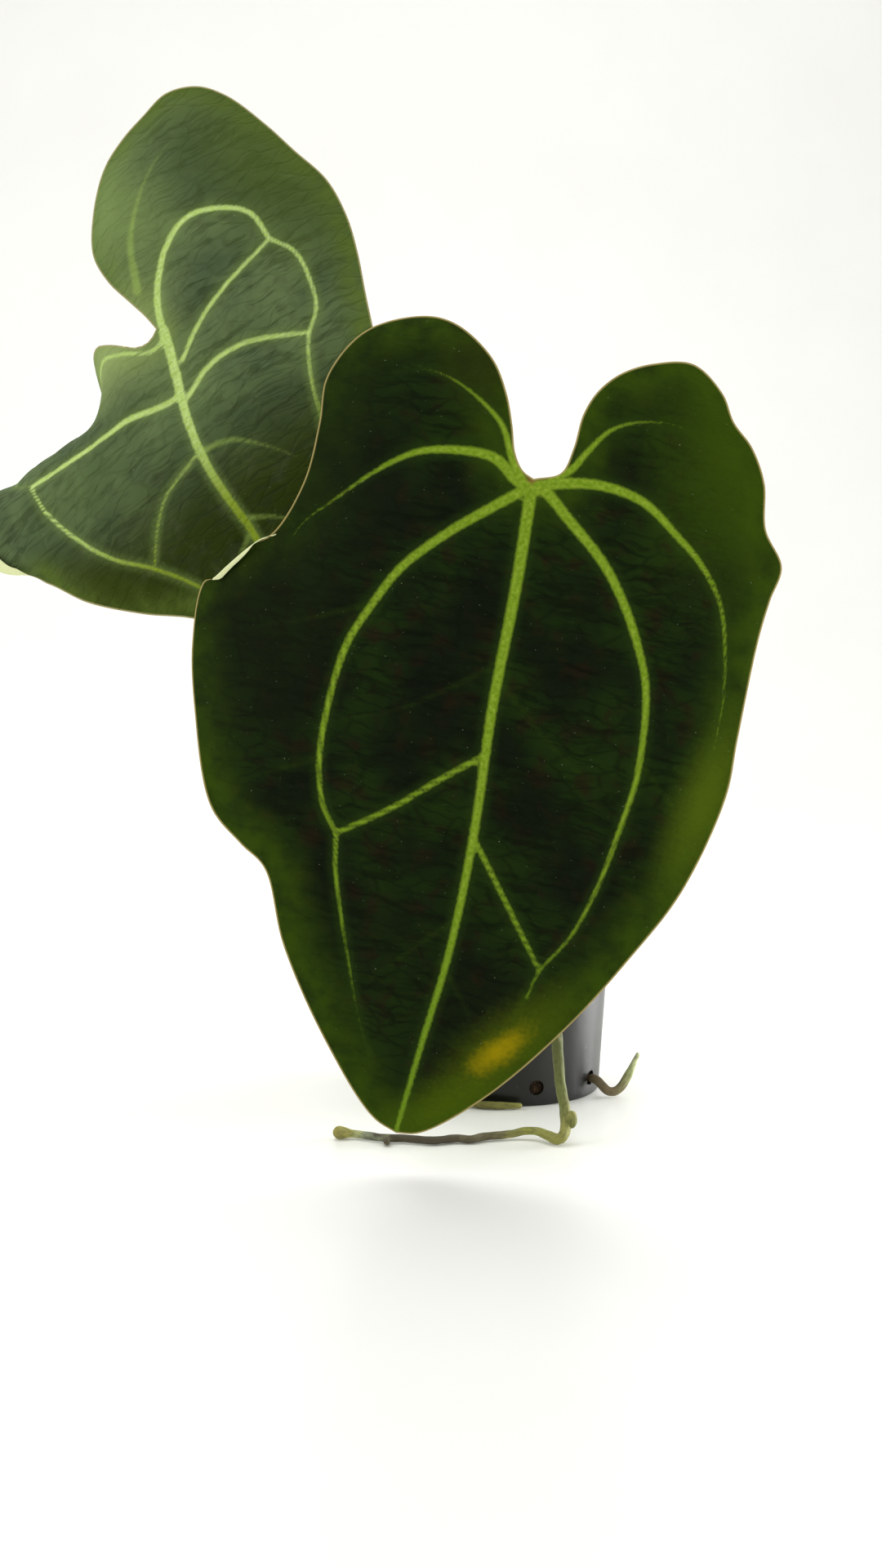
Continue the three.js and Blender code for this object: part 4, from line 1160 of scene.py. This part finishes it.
def chunk(bm, centre, half, turn, tilt, kind):
    """One lump with broken faces. half is its half size in millimetres."""
    if kind == "pumice":
        made = bmesh.ops.create_icosphere(bm, subdivisions=2, radius=1)["verts"]
    else:
        made = bmesh.ops.create_cube(bm, size=2)["verts"]
        faces = {f for v in made for f in v.link_faces}
        parts = list(faces | {e for f in faces for e in f.edges}) + made
        for _ in range(CUTS):
            way = Vector([random.uniform(-1, 1) for _ in range(3)]).normalized()
            cut = bmesh.ops.bisect_plane(
                bm, geom=parts, plane_co=way * random.uniform(0.8, 1.15), plane_no=way,
                clear_outer=True,
            )
            rim = [g for g in cut["geom_cut"] if isinstance(g, bmesh.types.BMEdge)]
            cap = bmesh.ops.contextual_create(bm, geom=rim)["faces"] if len(rim) > 2 else []
            parts = [g for g in cut["geom"] if g.is_valid] + cap
        made = list({v for g in parts if isinstance(g, bmesh.types.BMFace) and g.is_valid
                     for v in g.verts})
    pose = Matrix.Translation(Vector(centre) * MM) @ Matrix.Rotation(turn, 4, "Z")
    pose = pose @ Matrix.Rotation(tilt, 4, "X")
    for vert in made:
        place = Vector([c * h for c, h in zip(vert.co, half)])
        wear = 1 + 0.16 * noise.noise(place * 0.5 + Vector(centre))
        vert.co = pose @ (place * wear * MM)


KINDS = {
    "bark_chip": ((4.6, 2.7, 1.5), 150, bark, "bark"),
    "pumice": ((2.7, 2.4, 2.1), 60, pumice_stone, "pumice"),
    "charcoal": ((3.2, 2.4, 1.9), 40, charcoal_black, "charcoal"),
}
LUMPS_BETWEEN = (11.5, 36)
nodes = list(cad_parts)
for kind, (half, extra, material, slot) in KINDS.items():
    own = [n for n in nodes if n.startswith(kind)]
    bm = bmesh.new()
    for node in own:
        low, high = (np.array(c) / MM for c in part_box(node))
        middle = (low + high) / 2
        turn = math.atan2(middle[1], middle[0]) + random.uniform(1.1, 2.0)
        chunk(bm, middle + [0, 0, -0.2], half, turn, random.uniform(-0.15, 0.15), kind)
    for _ in range(extra):
        # Small lumps fill the gaps. They keep clear of the stem and of the wall.
        way = random.uniform(0, math.tau)
        out = math.sqrt(random.uniform(*(r**2 for r in LUMPS_BETWEEN)))
        size = random.uniform(0.35, 0.72)
        spot = (out * math.cos(way), out * math.sin(way), MIX_TOP - 0.2 + half[2] * size * 0.6)
        lump = [h * size for h in half]
        chunk(bm, spot, lump, random.uniform(0, 3), random.uniform(-0.35, 0.35), kind)
    bmesh.ops.recalc_face_normals(bm, faces=bm.faces)
    angle = 180 if kind == "pumice" else 25
    finished(f"{kind}_lumps", bm, [material], own, angle)

# %% [markdown]
# ## Stem, bud and sheaths
#
# The stem is a short thick rootstock, ringed with the scars of old leaves. At its top the next
# leaf waits, rolled to a point. Two sheaths, which once wrapped a bud, have dried to a brown
# papery fibre and still clasp the stem.


# %% Stem materials
def streaky(name, dark, light, streak, length_scale, roughness, depth):
    """Plant skin with streaks along the piece, read from its object coordinates."""
    material, tree, shader = new_material(name)
    place = add(tree, COORDINATES, {}, 3)
    lines = add(tree, MAPPING, {"Vector": place, "Scale": (1, 1, length_scale)})
    lines = add(tree, NOISE, sized(lines, streak, 4.0))
    clouds = add(tree, NOISE, sized(place, 7, 4.0))
    skin = laid(tree, dark, light, clouds, 0.35, 0.65)
    skin = laid(tree, skin, dark, lines, 0.48, 0.72, last=0.7)
    bump = {"Height": lines, "Strength": 0.6, "Distance": depth * MM}
    fill(tree, shader, {
        "Base Color": skin,
        "Roughness": roughness,
        "Specular IOR Level": 0.35,
        "Normal": add(tree, BUMP, bump),
    })
    return material


stem_bark = streaky("stem_rind", "#4a4a26", "#6f7440", 1.4, 0.5, 0.65, 0.5)
bud_skin = streaky("bud_skin", "#6f7f38", "#9aa85a", 0.9, 0.08, 0.5, 0.2)
sheath_fibre = streaky("sheath_fibre", "#5c4325", "#a98c5c", 0.6, 0.05, 0.85, 0.6)

# %% Stem
STEM_FOOT = 78.3
STEM_LENGTH = 28.7
STEM_WIDE, STEM_SLIM = 8.5, 7.4
SCARS = 4
stem_line = [(0, STEM_FOOT), (7.4, STEM_FOOT), (8.2, 78.8), (8.4, 80.2)]
for k in range(1, SCARS + 1):
    height = STEM_FOOT + STEM_LENGTH * k / SCARS
    radius = STEM_WIDE + (STEM_SLIM - STEM_WIDE) * k / SCARS
    # The stem thins a little to each scar, which stands out as a low ring.
    stem_line += [(radius - 0.1, height - 4.2), (radius - 0.4, height - 2.2),
                  (radius - 0.05, height - 0.7), (radius, height), (radius - 0.25, height + 0.8)]
stem_line += [(6.6, 109.6), (5.0, 110.9), (2.6, 111.7), (0, 112)]
bm = spun(stem_line, 64)
for vert in bm.verts:
    wear = 1 + 0.035 * noise.noise(vert.co * per_metre(5))
    wear += 0.012 * noise.noise(vert.co * per_metre(1.6))
    vert.co.x *= wear
    vert.co.y *= wear
finished("stem_rootstock", bm, [stem_bark], ["stem"])

# %% Terminal bud
BUD_FOOT = 112.0
bud_path = [(0, 0, BUD_FOOT), (0.8, 0, BUD_FOOT + 16), (4.2, 0, BUD_FOOT + 40.2)]


def bud_radius(share):
    """A slim spear that swells above its foot."""
    width = 0.8 + 0.8 * share if share < 0.25 else 1.15 - 0.6 * share
    return 3.9 * width * (1 - 0.75 * max(0, share - 0.5))


bm, length = bar_bmesh(bud_path, bud_radius, 0.8, 48, 0.02, 9.0)
# The rolled leaf's overlap runs round the bud as a fine step.
layer = bm.verts.layers.float_vector["straight"]
for vert in bm.verts:
    straight = vert[layer]
    turn = math.atan2(straight.y, straight.x) + 5.2 * straight.z / (length * MM)
    step = 1 + 0.09 * ((turn / math.tau) % 1) - 0.045
    centre = Vector((np.interp(vert.co.z / MM, [BUD_FOOT, 128, 152], [0, 0.8, 4.2]) * MM, 0))
    vert.co.x = centre.x + (vert.co.x - centre.x) * step
    vert.co.y *= step
finished("terminal_bud_spear", bm, [bud_skin], ["terminal_bud"])

# %% Cataphylls
SHEATH_FOOT = 92
SHEATH_LENGTH = 17
SHEATH_RADIUS = 9.35
SHEATH_WALL = 0.45
for side, direction in (("right", 8), ("left", 188)):
    bm = bmesh.new()
    bmesh.ops.create_grid(bm, x_segments=72, y_segments=40, size=1)
    half = math.radians(37)
    for vert in bm.verts:
        across, up = vert.co.x, (vert.co.y + 1) / 2
        # Its top is torn into fibres of uneven length, and its sides are ragged.
        torn = 0.16 * noise.noise(Vector((across * 9, direction, 1))) + 0.9
        torn -= 0.35 * across * across
        fray = 1 + 0.05 * noise.noise(Vector((up * 12, direction, 5)))
        turn = across * half * fray + math.radians(direction)
        height = SHEATH_FOOT + SHEATH_LENGTH * up * torn
        ridge = 0.16 * math.sin(across * 46 + 2 * noise.noise(Vector((across * 3, up * 3, 2))))
        curl = 1 + 0.16 * (up * torn) ** 2
        dents = noise.noise(Vector((across * 3, up * 4, 9)))
        radius = (SHEATH_RADIUS + ridge) * curl + 0.25 * dents
        vert.co = Vector((radius * math.cos(turn), radius * math.sin(turn), height)) * MM
    bmesh.ops.recalc_face_normals(bm, faces=bm.faces)
    sheath = finished(f"cataphyll_{side}_sheath", bm, [sheath_fibre],
                      [f"cataphyll_{side}"])
    wall = sheath.modifiers.new("wall", "SOLIDIFY")
    wall.thickness = SHEATH_WALL * MM
    wall.offset = 0

# %% [markdown]
# ## Roots
#
# An aerial root is a few millimetres thick, firm, and covered by a dull skin of dead cells that
# drinks water. Where it is old the skin is grey brown, where it grows it is green,
# and its tip is smooth and yellow green. The long one leaves the stem, climbs over the rim,
# hangs down to the floor, makes a kink there and lies along the floor.


# %% Root material
def root_skin(name, stops):
    """Dull root skin. stops gives the colour along the root, from its start to its tip."""
    material, tree, shader = new_material(name)
    straight = add(tree, ATTRIBUTE, {}, 1, attribute_name="straight")
    along = add(tree, ATTRIBUTE, {}, 2, attribute_name="along")
    clouds = add(tree, NOISE, sized(straight, 6, 4.0))
    grains = add(tree, MAPPING, {"Vector": straight, "Scale": (1, 1, 0.35)})
    grains = add(tree, NOISE, sized(grains, 0.9, 4.0))
    wander = add(tree, RANGE, {0: clouds, 1: 0.2, 2: 0.8, 3: -0.03, 4: 0.03})
    place = add(tree, MATH, {0: along, 1: wander}, operation="ADD")
    node = tree.nodes.new("ShaderNodeValToRGB")
    ramp = node.color_ramp
    while len(ramp.elements) < len(stops):
        ramp.elements.new(0.5)
    for element, (at, colour) in zip(ramp.elements, stops):
        element.position = at
        element.color = linear(colour)
    fill(tree, node, {0: place})
    skin = laid(tree, node.outputs[0], "#3f3b28", grains, 0.4, 0.75, last=0.55)
    skin = laid(tree, skin, "#8f8a66", clouds, 0.55, 0.8, last=0.4)
    bump = {"Height": grains, "Strength": 0.5, "Distance": 0.35 * MM}
    fill(tree, shader, {
        "Base Color": skin,
        "Roughness": 0.72,
        "Specular IOR Level": 0.3,
        "Normal": add(tree, BUMP, bump),
    })
    return material


long_skin = root_skin("root_velamen_long", [
    (0.0, "#4a452c"), (0.2, "#4f5230"), (0.45, "#565c34"), (0.56, "#6f7440"), (0.61, "#8d8b4a"),
    (0.68, "#8f9148"), (0.73, "#6a6448"), (0.82, "#4c4538"), (0.92, "#4a4436"),
    (0.95, "#9aa285"), (0.975, "#aaa862"), (1.0, "#968f48"),
])
right_skin = root_skin("root_velamen_right", [
    (0.0, "#4d4330"), (0.35, "#7a6b50"), (0.55, "#8a8560"), (0.72, "#a9b07c"), (1.0, "#d2d8ae"),
])
foot_skin = root_skin("root_velamen_foot", [
    (0.0, "#57512f"), (0.5, "#6d6a35"), (1.0, "#8a8846"),
])
prop_skin = root_skin("root_velamen_prop", [
    (0.0, "#6b6a3c"), (0.6, "#6b5e40"), (1.0, "#4b3e2c"),
])

# %% The long root
LONG_PATH = [
    (6.6, -11, 84), (8.4, -18, 82), (9.4, -27, 84), (10, -34, 91), (10.6, -37.8, 95.6),
    (11.4, -42, 97), (12.4, -48, 95.2), (13, -54.6, 86), (13.8, -61.5, 70), (14.4, -67.5, 52),
    (15.2, -72.5, 36), (16.3, -78, 20), (17.9, -84.4, 10), (17.4, -90, 4.8), (15.4, -92.4, 2.6),
    (11.8, -89, 2.7), (7.9, -85.4, 3.5), (3.6, -83.6, 3.3), (-1.7, -84, 2.3), (-8.6, -85.4, 1.9),
    (-12.9, -86.5, 1.8), (-17.2, -89.8, 1.8), (-22, -88.4, 1.8), (-27.1, -90.2, 1.8),
    (-30.7, -91.6, 1.8), (-35.5, -90.4, 1.8), (-42.4, -88.4, 1.8), (-48.1, -88, 1.8),
    (-54.2, -85.2, 1.8), (-59.4, -83, 1.9), (-63.6, -82.8, 2.3), (-68, -83.4, 2.8),
]


def long_radius(share):
    """Thinner from where it meets the floor, with a swollen tip."""
    on_floor = float(smooth_share((share - 0.62) / 0.06))
    at_tip = float(smooth_share((share - 0.965) / 0.025))
    return 2.05 - 0.6 * on_floor + 0.9 * at_tip


bm, length = bar_bmesh(LONG_PATH, long_radius, 0.9, 24, 0.14, 4.0)
layer = bm.verts.layers.float_vector["straight"]
for centre, size, share, kind in (
    ((20, -88, 8.8), (2.2, 2.2, 3.3), 0.58, "knob"),
    ((-47.8, -91, 1.6), (1.4, 3.3, 1.4), 0.9, "side bud"),
):
    ball = bmesh.ops.create_icosphere(bm, subdivisions=3, radius=1)["verts"]
    for vert in ball:
        wear = 1 + 0.10 * noise.noise(vert.co * 1.5)
        place = Vector([c * s * wear for c, s in zip(vert.co, size)])
        vert[layer] = (place + Vector((0, 0, share * length))) * MM
        vert.co = (Vector(centre) + place) * MM
    print("side shoot:", kind)
long_root = finished("root_over_rim_aerial", bm, [long_skin], ["root_over_rim"])
keep_share(long_root, length)

# %% The short roots
SHORT_ROOTS = {
    "root_right": (1.8, 0.9, right_skin, [
        (30.8, -17.8, 7.5), (34, -19.6, 6.9), (36.4, -20.6, 4.6), (38.7, -20.9, 2.6),
        (41.3, -20.6, 2.5), (44, -20.2, 4.6), (46.4, -20, 8.6), (48.6, -19.8, 13.2),
        (50.8, -19.6, 18),
    ]),
    "root_foot": (1.5, 1.1, foot_skin, [
        (-17.8, -30.8, 7.5), (-19, -33, 6.9), (-18.6, -36, 4), (-14.6, -38.6, 2.1),
        (-8, -40.2, 1.8), (-1.6, -40.3, 1.7), (3.6, -39.8, 1.6),
    ]),
}
for node, (wide, slim, material, path) in SHORT_ROOTS.items():
    def tapered(share, wide=wide, slim=slim):
        """Slims towards the tip."""
        return wide + (slim - wide) * float(smooth_share((share - 0.6) / 0.4))

    bm, length = bar_bmesh(path, tapered, 0.7, 22, 0.10, 4.0, wide)
    root = finished(f"{node}_aerial", bm, [material], [node])
    keep_share(root, length)

for k, direction in enumerate((-28, 42, 148, 222), start=1):
    path = [(8.6, 0, 88.3), (10.4, 0, 87.7), (12, 0, 85.2), (13.3, 0, 82), (14, 0, 78.4)]
    bm, length = bar_bmesh(path, lambda share: 1.8, 0.9, 20, 0.12, 4.0, k)
    turn = Matrix.Rotation(math.radians(direction), 4, "Z")
    bmesh.ops.transform(bm, matrix=turn, verts=bm.verts)
    root = finished(f"prop_root_{k}_aerial", bm, [prop_skin], [f"prop_root_{k}"])
    keep_share(root, length)

# %% [markdown]
# ## Floor, light and camera
#
# The plant stands on a white sheet that curves up behind it, so that no horizon shows. The sheet
# is a row of edges that is extruded sideways. Light comes from a bright sky of white, a large
# soft panel above and behind, one from the left, and a narrow tall one on the right that draws a
# bright line down the pot. A low panel on the right lights the side of the pot.


# %% Floor
def white_sheet(name):
    """Matt white laminate with a trace of gloss."""
    material, tree, shader = new_material(name)
    place = add(tree, COORDINATES, {}, 3)
    clouds = add(tree, NOISE, sized(place, 90, 2.0))
    skin = add(tree, MIX, {0: clouds, 6: "#f1f1ec", 7: "#f6f6f2"}, **COLOURS)
    fill(tree, shader, {"Base Color": skin, "Roughness": 0.35, "Specular IOR Level": 0.3})
    return material


# In metres. The sheet starts to curve up this far behind the plant, with this radius.
BEND_AT, BEND_RADIUS = 0.9, 0.7
SHEET_WIDTH = 6.0
bm = bmesh.new()
sweep = [(-1.6, 0.0), (0.0, 0.0), (BEND_AT, 0.0)]
sweep += [(BEND_AT + BEND_RADIUS * math.sin(a), BEND_RADIUS - BEND_RADIUS * math.cos(a))
          for a in np.linspace(0.1, 1.5, 14)]
sweep += [(1.62, 2.6)]
row = [bm.verts.new((-SHEET_WIDTH / 2, y, z)) for y, z in sweep]
edges = [bm.edges.new(pair) for pair in zip(row, row[1:])]
grown = bmesh.ops.extrude_edge_only(bm, edges=edges)["geom"]
across = [g for g in grown if isinstance(g, bmesh.types.BMVert)]
bmesh.ops.translate(bm, vec=(SHEET_WIDTH, 0, 0), verts=across)
bmesh.ops.recalc_face_normals(bm, faces=bm.faces)
mesh = bpy.data.meshes.new("white_sheet")
bm.to_mesh(mesh)
bm.free()
mesh.materials.append(white_sheet("white_laminate"))
mesh.polygons.foreach_set("use_smooth", [True] * len(mesh.polygons))
floor = bpy.data.objects.new("white_sheet", mesh)
scene.collection.objects.link(floor)
print("sheet faces:", len(mesh.polygons))


# %% Light
def panel(name, place, target, size, power, spread=180):
    """A rectangular soft light that faces its target. Its beam opens by spread degrees."""
    light = bpy.data.lights.new(name, "AREA")
    light.shape = "RECTANGLE"
    light.size, light.size_y = size
    light.energy = power
    light.spread = math.radians(spread)
    obj = bpy.data.objects.new(name, light)
    obj.location = place
    obj.rotation_euler = (Vector(target) - Vector(place)).to_track_quat("-Z", "Y").to_euler()
    obj.visible_camera = False
    scene.collection.objects.link(obj)
    return obj


world = bpy.data.worlds.new("white_sky")
world.use_nodes = True
sky = world.node_tree.nodes["Background"]
sky.inputs["Color"].default_value = (1.0, 1.0, 1.0, 1.0)
sky.inputs["Strength"].default_value = 0.75
scene.world = world
panel("panel_above", (-0.2, 0.5, 1.5), (-0.05, 0.0, 0.1), (1.4, 1.4), 14)
panel("panel_left", (-1.1, -0.3, 0.7), (-0.1, 0.0, 0.25), (0.8, 1.0), 4)
panel("strip_right", (0.55, -0.35, 0.35), (0.02, 0.0, 0.05), (0.12, 0.6), 1.0)
panel("panel_low", (0.40, 0.11, 0.065), (0.02, 0.0, 0.045), (0.3, 0.12), 0.8, 90)

# %% Camera
camera = bpy.data.cameras.new("camera")
camera.lens = 50
camera.sensor_width = 36
view = bpy.data.objects.new("camera", camera)
view.location = (-0.028, -0.871, 0.215)
view.rotation_euler = (math.radians(84), 0, 0)
scene.collection.objects.link(view)
scene.camera = view
scene.view_settings.view_transform = "Standard"
